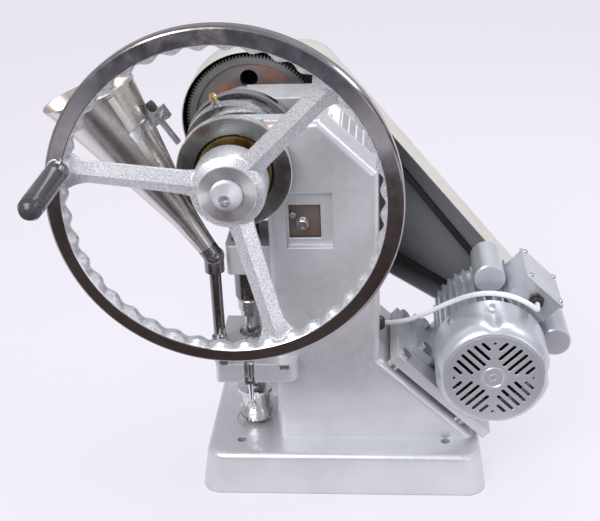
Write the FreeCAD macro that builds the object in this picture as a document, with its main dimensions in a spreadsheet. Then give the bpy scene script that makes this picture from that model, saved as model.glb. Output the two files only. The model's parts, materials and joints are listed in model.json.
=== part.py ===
"""Desktop single-punch tablet press, motor driven, with a hand wheel.

X runs from the hand wheel side of the frame to the motor, Y away from the hand wheel,
Z up.  The origin is the centre of the four bench bolts, on the underside of the base.
Lengths are in millimetres.
"""
import FreeCAD, Part
import math
import os
import re
import Sketcher

V = FreeCAD.Vector
Rotation = FreeCAD.Rotation
Placement = FreeCAD.Placement

SIZES = {
    # base and column
    "base_length": 374, "base_width": 240, "base_height": 56, "base_draft": 8,
    "base_corner": 26, "base_edge": 9, "base_wall": 12, "base_roof": 14,
    "bolt_span_x": 270, "bolt_span_y": 154, "bolt_hole": 6, "bolt_boss": 16,
    "column_left": -86, "column_right": 49, "column_front": -71, "column_back": 82,
    "column_top": 497, "shoulder_x": -19, "shoulder_z": 431, "rib_top": 175,
    "column_wall": 12, "column_round": 9,
    # main shaft and what turns with it
    "shaft_x": -120, "shaft_z": 440, "shaft_radius": 12.5, "running_gap": 0.05,
    "throw": 10, "throw_angle": 140, "sheave_radius": 24, "strap_bore": 49, "strap_radius": 60,
    "strap_front": -36, "strap_width": 24, "pin_drop": 99,
    "front_boss": 57, "front_boss_y": -56, "front_boss_width": 16,
    "rear_boss": 52, "rear_boss_y": 24, "rear_boss_end": 95, "bush_wall": 5,
    "cam_radius": 69, "cam_y": -87, "cam_width": 12,
    "lift_cam_radius": 71.5, "lift_cam_y": 3, "lift_cam_width": 14,
    "wheel_radius": 200, "wheel_inner": 181, "wheel_front": -190, "wheel_depth": 22,
    "hub_radius": 44, "hub_front": -150, "hub_back": -106, "spoke_width": 31, "spoke_depth": 14,
    "spoke_angle": 47, "grip_reach": 184, "grip_angle": 166, "grip_radius": 13,
    # gear train
    "gear_module": 1.5, "gear_teeth": 116, "pinion_teeth": 20, "gear_y": 112, "gear_width": 18,
    "mesh_angle": -34, "backlash": 0.4, "pinion_shaft_radius": 8,
    # belt drive and guard
    "big_pulley": 78, "small_pulley": 27, "belt_y": 142, "belt_width": 10, "belt_depth": 8,
    "guard_y": 105, "guard_depth": 60, "guard_wall": 2, "guard_radius": 94.5,
    "guard_slope": 50.7, "guard_top_gap": 60, "guard_end_gap": 36,
    "guard_end": 48,
    # tooling
    "tool_y": -24, "ram_radius": 18, "ram_bottom": 246, "ram_top": 352, "guide_bottom": 288,
    "guide_top": 328, "platform_top": 180, "platform_bottom": 153, "platform_front": -90,
    "platform_half": 41, "die_radius": 15, "punch_radius": 6, "upper_tip": 192.4,
    "lower_tip": 166, "rod_y": 10, "rod_radius": 7,
    # feeder
    "pipe_x": -157, "pipe_y": -58, "pipe_radius": 7.5, "elbow_z": 318, "hopper_tilt": 31.5,
    "hopper_length": 255, "mouth_slope": 18.5, "sheet": 1.5,
    # motor
    "motor_x": 191, "motor_z": 173, "motor_tilt": 44, "motor_core": 59, "fin_radius": 68,
    "cowl_radius": 72.5, "cowl_front": -110, "cowl_back": -54, "motor_height": 75,
    "motor_back": 72, "motor_slab": 14,
    "cable_radius": 3.2,
}

doc = FreeCAD.newDocument("tablet_press")
sheet = doc.addObject("Spreadsheet::Sheet", "sizes")
for row, (alias, size) in enumerate(SIZES.items(), start=1):
    sheet.set("A%d" % row, str(size))
    sheet.setAlias("A%d" % row, alias)
doc.recompute()

NODES = []


# ---------------------------------------------------------------- helpers

def ref(text):
    """An expression over the sheet's aliases, ready for setExpression."""
    def prefix(match):
        word = match.group(0)
        return "sizes." + word if word in SIZES else word
    return re.sub(r"[a-z][a-z_]*", prefix, str(text))


def number(text):
    value = sheet.evalExpression(ref(text))
    return float(getattr(value, "Value", value))


def bind(thing, **expressions):
    for prop, text in expressions.items():
        thing.setExpression(prop, ref(text))
    return thing


def node(thing, label):
    """Marks a finished sub-part; its label names the file."""
    thing.Label = label
    NODES.append(thing)
    return thing


TURNS = {
    "z": Rotation(),
    "-z": Rotation(V(1, 0, 0), 180),
    "y": Rotation(V(1, 0, 0), -90),
    "-y": Rotation(V(1, 0, 0), 90),
    "x": Rotation(V(0, 1, 0), 90),
}
counter = {"made": 0}


def add(kind, hint="piece"):
    counter["made"] += 1
    return doc.addObject(kind, "%s_%d" % (hint, counter["made"]))


def move(thing, at, turn="z"):
    rotation = TURNS[turn] if isinstance(turn, str) else turn
    thing.Placement = Placement(V(), rotation)
    for axis, text in zip("xyz", at):
        thing.setExpression("Placement.Base." + axis, ref(text))
    return thing


def cylinder(radius, length, at, turn="z"):
    thing = add("Part::Cylinder", "cylinder")
    bind(thing, Radius=radius, Height=length)
    return move(thing, at, turn)


def cone(low, high, length, at, turn="z"):
    thing = add("Part::Cone", "cone")
    bind(thing, Radius1=low, Radius2=high, Height=length)
    return move(thing, at, turn)


def box(size, at, turn="z"):
    thing = add("Part::Box", "box")
    bind(thing, Length=size[0], Width=size[1], Height=size[2])
    return move(thing, at, turn)


def hexagon(radius, length, at, turn="z"):
    thing = add("Part::Prism", "hexagon")
    thing.Polygon = 6
    bind(thing, Circumradius=radius, Height=length)
    return move(thing, at, turn)


def fuse(*parts):
    thing = add("Part::MultiFuse", "fuse")
    thing.Shapes = list(parts)
    return thing


def cut(base, *tools):
    thing = add("Part::Cut", "cut")
    thing.Base = base
    thing.Tool = tools[0] if len(tools) == 1 else fuse(*tools)
    return thing


def group(*parts):
    """Separate solids that share one node, such as a set of bolts."""
    thing = add("Part::Compound", "group")
    thing.Links = list(parts)
    return thing


def rounded(base, radius, chosen):
    """Fillets the edges of base for which chosen(edge) holds."""
    doc.recompute()
    thing = add("Part::Fillet", "rounded")
    thing.Base = base
    size = number(radius)
    picks = [i for i, edge in enumerate(base.Shape.Edges, start=1) if chosen(edge)]
    thing.Edges = [(i, size, size) for i in picks]
    return thing


def direction(edge):
    return (edge.lastVertex().Point - edge.firstVertex().Point).normalize()


def origin_plane(body, role):
    return next(f for f in body.Origin.OriginFeatures if f.Role == role)


def outline_sketch(body, role, points, name="outline"):
    """A closed polygon whose corners are each tied to the sheet."""
    sketch = body.newObject("Sketcher::SketchObject", name)
    sketch.AttachmentSupport = [(origin_plane(body, role), "")]
    sketch.MapMode = "FlatFace"
    spots = [(number(across), number(up)) for across, up in points]
    count = len(points)
    for i in range(count):
        start = V(*spots[i], 0)
        end = V(*spots[(i + 1) % count], 0)
        sketch.addGeometry(Part.LineSegment(start, end))
    for i in range(count):
        sketch.addConstraint(Sketcher.Constraint("Coincident", i, 2, (i + 1) % count, 1))
        for which, kind in enumerate(("DistanceX", "DistanceY")):
            spot = Sketcher.Constraint(kind, -1, 1, i, 1, spots[i][which])
            index = sketch.addConstraint(spot)
            sketch.setExpression("Constraints[%d]" % index, ref(points[i][which]))
    return sketch


def turned(points, at, turn="z"):
    """A lathe part: (radius, distance along the axis) corners, revolved."""
    body = add("PartDesign::Body", "turned")
    sketch = outline_sketch(body, "XZ_Plane", points, body.Name + "_profile")
    spin = body.newObject("PartDesign::Revolution", body.Name + "_spin")
    spin.Profile = sketch
    spin.ReferenceAxis = (sketch, ["V_Axis"])
    spin.Angle = 360
    return move(body, at, turn)


def plate(points, depth, at, turn="z", role="XZ_Plane"):
    """A flat part cut from plate: an outline in XZ, thick along Y."""
    body = add("PartDesign::Body", "plate")
    sketch = outline_sketch(body, role, points, body.Name + "_profile")
    pad = body.newObject("PartDesign::Pad", body.Name + "_pad")
    pad.Profile = sketch
    pad.Reversed = role == "XZ_Plane"
    pad.setExpression("Length", ref(depth))
    return move(body, at, turn)


def feature(shape, at=(0, 0, 0), turn="z"):
    thing = add("Part::Feature", "feature")
    thing.Shape = shape
    return move(thing, at, turn)


def on_motor(thing):
    """Sets a piece built upright round the motor's axis in its tilted place."""
    spin = Rotation(V(0, 1, 0), number("motor_tilt"))
    return move(thing, ("motor_x", 0, "motor_z"), spin)


def polar(radius, angle, centre=(0.0, 0.0)):
    """Point in the XZ plane, angle in degrees from +X towards +Z."""
    turn = math.radians(angle)
    return V(centre[0] + radius * math.cos(turn), 0, centre[1] + radius * math.sin(turn))


SHAFT = ("shaft_x", 0, "shaft_z")
GEAR_CENTRE = (number("shaft_x"), number("shaft_z"))
CENTRES = "(gear_teeth + pinion_teeth) * gear_module / 2"
PINION_X = "shaft_x + %s * cos(mesh_angle)" % CENTRES
PINION_Z = "shaft_z + %s * sin(mesh_angle)" % CENTRES


def beside_shaft(y):
    return ("shaft_x", y, "shaft_z")


def beside_pinion(y):
    return (PINION_X, y, PINION_Z)


# ---------------------------------------------------------------- frame casting

def base_block():
    """Drafted, rounded base, hollow from below."""
    wedge = add("Part::Wedge", "base")
    bind(wedge, Xmin="-base_length / 2", Xmax="base_length / 2", Ymin="0", Ymax="base_height",
         Zmin="-base_width / 2", Zmax="base_width / 2",
         X2min="base_draft - base_length / 2", X2max="base_length / 2 - base_draft",
         Z2min="base_draft - base_width / 2", Z2max="base_width / 2 - base_draft")
    wedge.Placement = Placement(V(), Rotation(V(1, 0, 0), 90))
    corners = rounded(wedge, "base_corner", lambda e: abs(direction(e).z) > 0.9)
    top = number("base_height")
    lip = rounded(corners, "base_edge", lambda e: e.BoundBox.ZMin > top - 0.1)
    hollow = box(("base_length - 2 * base_wall - 12", "base_width - 2 * base_wall - 12",
                  "base_height - base_roof + 1"),
                 ("6 + base_wall - base_length / 2", "6 + base_wall - base_width / 2", -1))
    return lip, hollow


def column_block():
    """Column with its sloped shoulder and the rib that runs out under the motor."""
    rib_end = "column_right + (rib_top - base_height + 4) / tan(motor_tilt)"
    outline = [("column_left", 40), ("column_left", "column_top"), ("shoulder_x", "column_top"),
               ("column_right", "shoulder_z"), ("column_right", "rib_top"),
               (rib_end, "base_height - 4"), (rib_end, 40)]
    block = plate(outline, "column_back - column_front", (0, "column_front", 0))
    front = number("column_front")
    roof = number("base_height")

    def is_front_edge(edge):
        on_face = edge.BoundBox.YMax < front + 0.1
        return on_face and edge.BoundBox.ZMax > roof + 20 and edge.Length > 30
    return rounded(block, "column_round", is_front_edge)


def bearing_bosses():
    front = cylinder("front_boss", "front_boss_width", beside_shaft("front_boss_y"), "y")
    front_web = box(("column_left - shaft_x + 4", "front_boss_width", "2 * front_boss"),
                    ("shaft_x", "front_boss_y", "shaft_z - front_boss"))
    rear = cylinder("rear_boss", "rear_boss_end - rear_boss_y", beside_shaft("rear_boss_y"), "y")
    rear_web = box(("column_left - shaft_x + 4", "column_back - rear_boss_y",
                    "column_top - shaft_z + rear_boss"),
                   ("shaft_x", "rear_boss_y", "shaft_z - rear_boss"))
    return [front, front_web, rear, rear_web]


def tooling_brackets():
    """Ram guide block, die platform with its side lobe, and the gusset under it."""
    guide = box(("column_left + 4 + 144", 80, "guide_top - guide_bottom"),
                (-144, "tool_y - 26", "guide_bottom"))
    table = box(("column_left + 4 - shaft_x + platform_half", "40 - platform_front",
                 "platform_top - platform_bottom"),
                ("shaft_x - platform_half", "platform_front", "platform_bottom"))
    corner = number("platform_front")
    guide_round = rounded(guide, 8, lambda e: abs(direction(e).z) > 0.9
                          and e.BoundBox.XMax < -140)
    table_round = rounded(table, 7, lambda e: abs(direction(e).z) > 0.9
                          and e.BoundBox.YMax < corner + 0.1 and e.BoundBox.XMax < -100)
    lobe_arm = box((12, "column_front - platform_front + 4", "platform_top - platform_bottom"),
                   ("column_left + 4", "platform_front", "platform_bottom"))
    lobe = cylinder(15, "platform_top - platform_bottom",
                    ("column_left + 16", "platform_front + 15", "platform_bottom"))
    gusset = box((12, 70, 50), ("column_left - 8", -50, "platform_bottom - 46"))
    return [guide_round, table_round, lobe_arm, lobe, gusset]


def bolt_spots():
    return [(sx + "bolt_span_x / 2", sy + "bolt_span_y / 2") for sx in ("", "-")
            for sy in ("", "-")]


def frame_casting():
    block, hollow = base_block()
    bosses = [cylinder("bolt_boss", "base_height - 6", (x, y, 0)) for x, y in bolt_spots()]
    holes = [cylinder("bolt_hole", "base_height + 4", (x, y, -2)) for x, y in bolt_spots()]
    column = column_block()
    column_hollow = box(("column_right - column_left - 2 * column_wall",
                         "column_back - column_front - 2 * column_wall", "340"),
                        ("column_left + column_wall", "column_front + column_wall", "-1"))
    cam_bay = box(("-40 - column_left + 1", "rear_boss_y + 40", "column_top - 350 + 5"),
                  ("column_left - 1", -40, 350))
    lever_bay = box((30, 62, 26), (-62, -39, 366))
    pocket = box((57, 9, 72), (-63, "column_front - 1", 335))
    window = box((39, 40, 44), (-60, "column_front - 1", 345))
    shaft_bore = cylinder("shaft_radius + bush_wall", 200, beside_shaft(-80), "y")
    pinion_bore = cylinder("pinion_shaft_radius + bush_wall", 60, beside_pinion(44), "y")
    pin_bore = cylinder(6, 70, (-49, 0, 379), "y")
    ram_bore = cylinder("ram_radius + running_gap", 60, ("shaft_x", "tool_y", 280))
    rod_bore = cylinder("rod_radius + running_gap", 220, ("shaft_x", "rod_y", 140))
    die_seat = cylinder("die_radius", 20, ("shaft_x", "tool_y", "lower_tip - 2"))
    punch_bore = cylinder(9, 20, ("shaft_x", "tool_y", 150))
    stop_slot = box((13, 17, 40), ("shaft_x - 4", "platform_front - 1", 145))
    key_slot = box((12, 12, 7), ("column_left + 8", "platform_front - 1", "platform_top - 9"))
    spot_face = cylinder(27, 3, ("shaft_x", "tool_y", "base_height - 1"))
    stud_bore = cylinder(8, 20, ("shaft_x", "tool_y", "base_height - 12"))
    hold_bore = cylinder(4, 14, (-150, -79, "platform_top - 10"))
    grommet_bore = cylinder(6, 30, ("column_right - 20", 0, 191), "x")
    guard_bores = [cylinder(4, 20, (x, "column_back - 14", z), "y") for x, z in GUARD_STUDS]
    stud_pad = cylinder(13, 10, ("shaft_x", "tool_y", "base_height - base_roof - 6"))
    shell = cut(fuse(block, column), hollow, column_hollow, cam_bay, lever_bay, pocket, window)
    solid = fuse(shell, *bearing_bosses(), *tooling_brackets(), *bosses, stud_pad)
    done = cut(solid, shaft_bore, pinion_bore, pin_bore, ram_bore, rod_bore, die_seat, punch_bore,
               stop_slot, key_slot, spot_face, stud_bore, hold_bore, grommet_bore,
               *holes, *guard_bores)
    return node(done, "frame_casting")


GUARD_STUDS = [(-17, 478), (30, 316), (38, 276)]


def frame_fittings():
    bush = "shaft_radius + running_gap"
    front = turned([(bush, 0), ("shaft_radius + bush_wall", 0),
                    ("shaft_radius + bush_wall", "front_boss_width"), (bush, "front_boss_width")],
                   beside_shaft("front_boss_y"), "y")
    length = "rear_boss_end - rear_boss_y"
    rear = turned([(bush, 0), ("shaft_radius + bush_wall", 0),
                   ("shaft_radius + bush_wall", length), (bush, length)],
                  beside_shaft("rear_boss_y"), "y")
    node(group(front, rear), "shaft_bushes")
    small = "pinion_shaft_radius + running_gap"
    rim = "pinion_shaft_radius + bush_wall"
    pinion = turned([(small, 0), (rim, 0), (rim, 38), (rim + " + 4", 38), (rim + " + 4", 42),
                     (small, 42)], beside_pinion("column_back - 38"), "y")
    node(pinion, "pinion_bush")
    pin = fuse(cylinder(6, 66, (-49, -24, 379), "y"), hexagon(10, 7, (-49, -31, 379), "y"),
               cylinder(12, 2, (-49, -25, 379), "y"))
    node(pin, "lever_pin")


def shoulder_turn():
    """The frame's sloped shoulder, as a turn about Y."""
    fall = math.degrees(math.atan2(number("column_top - shoulder_z"),
                                   number("column_right - shoulder_x")))
    return Rotation(V(0, 1, 0), fall)


def name_plate():
    middle_x = "(shoulder_x + column_right) / 2"
    middle_z = "(column_top + shoulder_z) / 2"
    tilt = shoulder_turn()
    blank = add("Part::Box", "blank")
    bind(blank, Length="72", Width="58", Height="1")
    out = tilt.multVec(V(-36, -29, 0.05))
    blank.Placement = Placement(V(number(middle_x), 4, number(middle_z)) + out, tilt)
    node(blank, "name_plate")
    rivets = []
    for across in (-32, 32):
        for along in (-25, 25):
            rivet = add("Part::Cylinder", "rivet")
            bind(rivet, Radius="2", Height="1.4")
            spot = tilt.multVec(V(across, along, 1.05))
            rivet.Placement = Placement(V(number(middle_x), 4, number(middle_z)) + spot, tilt)
            rivets.append(rivet)
    node(group(*rivets), "plate_rivets")


# ---------------------------------------------------------------- belt guard, belt and pulleys

def guard_outline():
    """Guard edge in XZ: round the gear, flat over the top, sloping down to the motor."""
    gear = GEAR_CENTRE
    radius = number("guard_radius")
    motor = (number("motor_x"), number("motor_z"))
    slope = math.radians(number("guard_slope"))
    down = V(math.cos(slope), 0, -math.sin(slope))
    out = V(math.sin(slope), 0, math.cos(slope))
    reach = math.hypot(motor[0] - gear[0], motor[1] - gear[1])
    line = math.atan2(motor[1] - gear[1], motor[0] - gear[0])
    low = line - math.acos((radius - number("guard_end_gap")) / reach)
    under = V(math.cos(low), 0, math.sin(low))
    along = V(-under.z, 0, under.x)
    middle = V(motor[0], 0, motor[1])
    end_top = middle + out * number("guard_top_gap") + down * number("guard_end")
    end_low = middle + under * number("guard_end_gap") + along * number("guard_end")
    start = V(gear[0], 0, gear[1]) + under * radius
    left = polar(radius, 175, gear)
    top = polar(radius, 90, gear)
    peak_z = top.z
    peak = end_top - down * ((peak_z - end_top.z) / math.sin(slope))
    corner = 46.0
    trim = corner * math.tan(slope / 2)
    flat_end = peak - V(trim, 0, 0)
    slope_start = peak + down * trim
    centre = flat_end - V(0, 0, corner)
    bend = centre + (V(0, 0, corner) + out * corner).normalize() * corner
    edges = [Part.Arc(start, left, top).toShape(),
             Part.LineSegment(top, flat_end).toShape(),
             Part.Arc(flat_end, bend, slope_start).toShape(),
             Part.LineSegment(slope_start, end_top).toShape(),
             Part.LineSegment(end_top, end_low).toShape(),
             Part.LineSegment(end_low, start).toShape()]
    return Part.Wire(edges)


def belt_guard():
    """Sheet-metal tray, open towards the column, with a back wall."""
    wall = number("guard_wall")
    depth = number("guard_depth")
    outer = Part.Face(guard_outline())
    inner = outer.makeOffset2D(-wall)
    tray = outer.extrude(V(0, depth, 0))
    hollow = inner.extrude(V(0, depth - wall, 0))
    shell = tray.cut(hollow)
    for x, z in GUARD_STUDS:
        spot = V(x, depth - 5, z)
        shell = shell.cut(Part.makeCylinder(4.2, 10, spot, V(0, 1, 0)))
    return node(feature(shell, (0, "guard_y", 0)), "belt_guard")


def guard_studs():
    studs = []
    for x, z in GUARD_STUDS:
        wall = "guard_y + guard_depth"
        stud = cylinder(4, wall + " + 8 - column_back + 14", (x, "column_back - 14", z), "y")
        sleeve = cylinder(7, wall + " - guard_wall - column_back", (x, "column_back", z), "y")
        nut = hexagon(8, 6, (x, wall, z), "y")
        studs.append(fuse(stud, sleeve, nut))
    return node(group(*studs), "guard_studs")


def belt_path(grow):
    """Closed belt line round both pulleys, grow mm outside their rims."""
    big = V(number(PINION_X), 0, number(PINION_Z))
    small = V(number("motor_x"), 0, number("motor_z"))
    big_radius = number("big_pulley") + grow
    small_radius = number("small_pulley") + grow
    span = small - big
    heading = math.degrees(math.atan2(span.z, span.x))
    half = math.degrees(math.acos((big_radius - small_radius) / span.Length))
    big_at = (big.x, big.z)
    small_at = (small.x, small.z)
    over = (polar(big_radius, heading + half, big_at), polar(small_radius, heading + half, small_at))
    below = (polar(small_radius, heading - half, small_at), polar(big_radius, heading - half, big_at))
    edges = [Part.LineSegment(*over).toShape(),
             Part.Arc(over[1], polar(small_radius, heading, small_at), below[0]).toShape(),
             Part.LineSegment(*below).toShape(),
             Part.Arc(below[1], polar(big_radius, heading + 180, big_at), over[0]).toShape()]
    return Part.Wire(edges)


def v_belt():
    width = number("belt_width")
    outer = Part.Face(belt_path(0)).extrude(V(0, width, 0))
    inner = Part.Face(belt_path(-number("belt_depth"))).extrude(V(0, width, 0))
    return node(feature(outer.cut(inner), (0, "belt_y - belt_width / 2", 0)), "v_belt")


def pulley(radius, bore, at_y, spot):
    """Grooved pulley; the belt lies in the groove with side and root clearance."""
    rim = radius
    root = radius + " - belt_depth - 3"
    return turned([(bore, -9), (rim, -9), (rim, -7.5), (root, -6), (root, 6), (rim, 7.5),
                   (rim, 9), (bore, 9)], spot(at_y), "y")


# ---------------------------------------------------------------- gears

def involute(base_radius, radius):
    """Angle from the start of the involute to the point at this radius."""
    roll = math.sqrt(max(radius * radius / base_radius ** 2 - 1, 0))
    return roll - math.atan(roll)


def gear_wire(teeth, first_angle, shave):
    """Tooth outline about the Y axis; first_angle is the middle of one tooth."""
    module = number("gear_module")
    pitch = module * teeth / 2
    base = pitch * math.cos(math.radians(20))
    tip = pitch + module
    root = pitch - 1.35 * module
    half = math.pi / (2 * teeth) - shave / (2 * pitch)
    points = []
    for tooth in range(teeth):
        middle = math.radians(first_angle) + 2 * math.pi * tooth / teeth
        low = max(base, root + 0.2)
        radii = [low + (tip - low) * step / 3 for step in range(4)]
        flank = [(r, half + involute(base, pitch) - involute(base, r)) for r in radii]
        flank.insert(0, (root, flank[0][1]))
        for r, offset in flank:
            points.append(V(r * math.cos(middle - offset), 0, r * math.sin(middle - offset)))
        for r, offset in reversed(flank):
            points.append(V(r * math.cos(middle + offset), 0, r * math.sin(middle + offset)))
    return Part.makePolygon(points + points[:1])


def main_gear():
    """Spur gear with a recessed web, four lightening holes and a hub."""
    teeth = int(number("gear_teeth"))
    width = number("gear_width")
    gap_angle = number("mesh_angle") + 180 / teeth
    blank = Part.Face(gear_wire(teeth, gap_angle, number("backlash") / 2)).extrude(V(0, width, 0))
    axis = V(0, 1, 0)
    for face_y in (-1, width - 4):
        ring = Part.makeCylinder(76, 5, V(0, face_y, 0), axis)
        ring = ring.cut(Part.makeCylinder(30, 5, V(0, face_y, 0), axis))
        blank = blank.cut(ring)
    for quarter in range(4):
        spot = polar(55, 92 + 90 * quarter)
        blank = blank.cut(Part.makeCylinder(12, 40, spot - V(0, 10, 0), axis))
    hub = Part.makeCylinder(24, width + 6, V(0, -3, 0), axis)
    blank = blank.fuse(hub).cut(Part.makeCylinder(number("shaft_radius"), 60, V(0, -20, 0), axis))
    return node(feature(blank.removeSplitter(), beside_shaft("gear_y")), "main_gear")


def pinion_shaft():
    """Pinion cut in one piece with its shaft."""
    teeth = int(number("pinion_teeth"))
    start = number("gear_y") - 1
    shave = number("backlash") / 2
    wire = gear_wire(teeth, number("mesh_angle") + 180, shave)
    toothed = Part.Face(wire).extrude(V(0, number("gear_width") + 2, 0))
    toothed.translate(V(0, start, 0))
    front = number("column_back") - 36
    shaft = Part.makeCylinder(number("pinion_shaft_radius"), 154 - front, V(0, front, 0),
                              V(0, 1, 0))
    return node(feature(toothed.fuse(shaft), beside_pinion(0)), "pinion_shaft")


# ---------------------------------------------------------------- main shaft

def main_shaft():
    end = "hub_front - 6"
    shaft = turned([(0, end), ("shaft_radius", end), ("shaft_radius", 146), (0, 146)],
                   SHAFT, "y")
    node(shaft, "main_shaft")
    cap = turned([(0, 0), (19, 0), (17, 5), (8, 17), (7.2, 18), (4, 18), (4, 16), (3.7, 16),
                  (3.7, 17), (2, 17), (2, 14), (0, 14)], beside_shaft(end), "-y")
    node(cap, "wheel_cap")
    collar = turned([("shaft_radius", 0), (32, 0), (37, 3), (37, 9), (26, 12), (26, 18),
                     ("shaft_radius", 18)], beside_shaft("hub_back"), "y")
    node(collar, "shaft_collar")
    nut = fuse(cylinder(24, 3, beside_shaft(133), "y"), hexagon(20, 9, beside_shaft(136), "y"))
    node(cut(nut, cylinder("shaft_radius", 30, beside_shaft(125), "y")), "gear_nut")


def hand_wheel():
    """Dished wheel: rim, three cast spokes that slope back, and a deep hub."""
    radius = "wheel_radius"
    inner = "wheel_inner"
    rim = turned([(inner, 0), (radius + " - 3", 4), (radius, 7), (radius, "wheel_depth - 3"),
                  (radius + " - 3", "wheel_depth"), (inner + " + 2", "wheel_depth"),
                  (inner + " - 4", "wheel_depth - 6"), (inner + " - 4", 6)],
                 beside_shaft("wheel_front"), "y")
    length = "hub_back - hub_front"
    hub = turned([("shaft_radius", -4), (34, -4), ("hub_radius - 3", 0), ("hub_radius", 4),
                  ("hub_radius", length + " - 2"), ("hub_radius - 2", length),
                  ("shaft_radius", length)], beside_shaft("hub_front"), "y")
    boss_spot = polar(number("grip_reach"), number("grip_angle"), GEAR_CENTRE)
    boss = cylinder(14, "wheel_depth - 2", (boss_spot.x, "wheel_front + 1", boss_spot.z), "y")
    spokes = []
    for arm in range(3):
        angle = "(spoke_angle + %d)" % (120 * arm)
        spoke = plate([(30, "-hub_front - 2"), ("wheel_inner", "-wheel_front - 3"),
                       ("wheel_inner", "-wheel_front - 3 - spoke_depth"),
                       (30, "-hub_front - 8 - spoke_depth")], "spoke_width", SHAFT)
        foot = ("shaft_x + spoke_width / 2 * sin%s" % angle, 0,
                "shaft_z - spoke_width / 2 * cos%s" % angle)
        lay = Rotation(V(0, 1, 0), -number(angle)) * Rotation(V(1, 0, 0), 90)
        move(spoke, foot, lay)
        spokes.append(spoke)
    hole = cylinder(5, 40, (boss_spot.x, "wheel_front - 8", boss_spot.z), "y")
    wheel = cut(fuse(rim, hub, boss, *spokes), hole)
    return node(wheel, "handwheel")


def crank_handle():
    spot = polar(number("grip_reach"), number("grip_angle"), GEAR_CENTRE)

    def at(y):
        return (spot.x, y, spot.z)
    spindle = turned([(0, -22), (5, -22), (5, 0.5), (12.5, 0.5), (12.5, 8), (10, 14), (5, 14),
                      (5, 104), (0, 104)], at("wheel_front"), "-y")
    node(spindle, "handle_spindle")
    bore = "5 + running_gap"
    grip = turned([(bore, 14.5), (11, 14.5), ("grip_radius", 20), ("grip_radius", 96), (12, 99),
                   (12.8, 100), (12.6, 106), (9.5, 112), (4, 115), (0, 115.6), (0, 105),
                   (bore, 105)], at("wheel_front"), "-y")
    node(grip, "handle_grip")


def cams():
    """Feed cam in front, eccentric sheave, and the lift cam with its smaller step."""
    feed = turned([("shaft_radius", 0), (26, 0), (30, 5), (44, 5), (48, 0),
                   ("cam_radius - 1", 0), ("cam_radius", 1), ("cam_radius", "cam_width - 1"),
                   ("cam_radius - 1", "cam_width"), ("shaft_radius", "cam_width")],
                  beside_shaft("cam_y"), "y")
    node(feed, "feed_cam")
    sheave = cylinder("sheave_radius", "strap_width - 4",
                      ("shaft_x + throw * cos(throw_angle)", "strap_front + 2",
                       "shaft_z + throw * sin(throw_angle)"), "y")
    node(cut(sheave, cylinder("shaft_radius", 40, beside_shaft("strap_front - 5"), "y")),
         "eccentric_sheave")
    step = "lift_cam_radius - 11"
    lift = turned([("shaft_radius", -9), (step + " - 1", -9), (step, -8), (step, 0),
                   ("lift_cam_radius - 1.5", 0), ("lift_cam_radius", 1.5),
                   ("lift_cam_radius", "lift_cam_width - 1.5"),
                   ("lift_cam_radius - 1.5", "lift_cam_width"),
                   ("shaft_radius", "lift_cam_width")], beside_shaft("lift_cam_y"), "y")
    node(lift, "lift_cam")


# ---------------------------------------------------------------- strap, ram and punches

PIN_Z = "shaft_z - pin_drop"
STRAP_X = "shaft_x + throw * cos(throw_angle)"
STRAP_Z = "shaft_z + throw * sin(throw_angle)"


def strap():
    """Eccentric strap: a ring, its shank, and the eye on the wrist pin."""
    lean = math.degrees(math.atan2(number(STRAP_X) - number("shaft_x"),
                                   number(STRAP_Z) - number(PIN_Z)))
    turn = Rotation(V(0, 1, 0), lean)
    rod = math.hypot(number(STRAP_X) - number("shaft_x"), number(STRAP_Z) - number(PIN_Z))
    ring = cylinder("strap_radius", "strap_width", (STRAP_X, "strap_front", STRAP_Z), "y")
    oil_angle = 17
    oil_turn = Rotation(V(0, 1, 0), -oil_angle)
    oil_foot = V(number(STRAP_X), 0, number(STRAP_Z)) + oil_turn.multVec(V(0, 0, 56))
    oil_boss = cylinder(6, 8, (oil_foot.x, "strap_front + strap_width / 2", oil_foot.z), oil_turn)
    shank = box((17, 13, rod - 50), ("-8.5", "0", "0"))
    move(shank, ("shaft_x + %f" % turn.multVec(V(-8.5, 0, 8)).x, "tool_y - 6.5",
                 PIN_Z + " + %f" % turn.multVec(V(-8.5, 0, 8)).z), turn)
    eye = cylinder(11, 13, ("shaft_x", "tool_y - 6.5", PIN_Z), "y")
    bore = cylinder("strap_bore", "strap_width + 4", (STRAP_X, "strap_front - 2", STRAP_Z), "y")
    pin_bore = cylinder("6 + running_gap", 30, ("shaft_x", "tool_y - 15", PIN_Z), "y")
    node(cut(fuse(ring, oil_boss, shank, eye), bore, pin_bore), "strap_rod")
    foot = oil_foot + oil_turn.multVec(V(0, 0, 8))
    cup_at = (foot.x, "strap_front + strap_width / 2", foot.z)
    cup = turned([(0, 0), (3.5, 0), (3.5, 3), (5, 4), (5, 8), (4, 9), (4, 11), (0, 12)],
                 cup_at, oil_turn)
    node(cup, "oil_cup")


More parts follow.
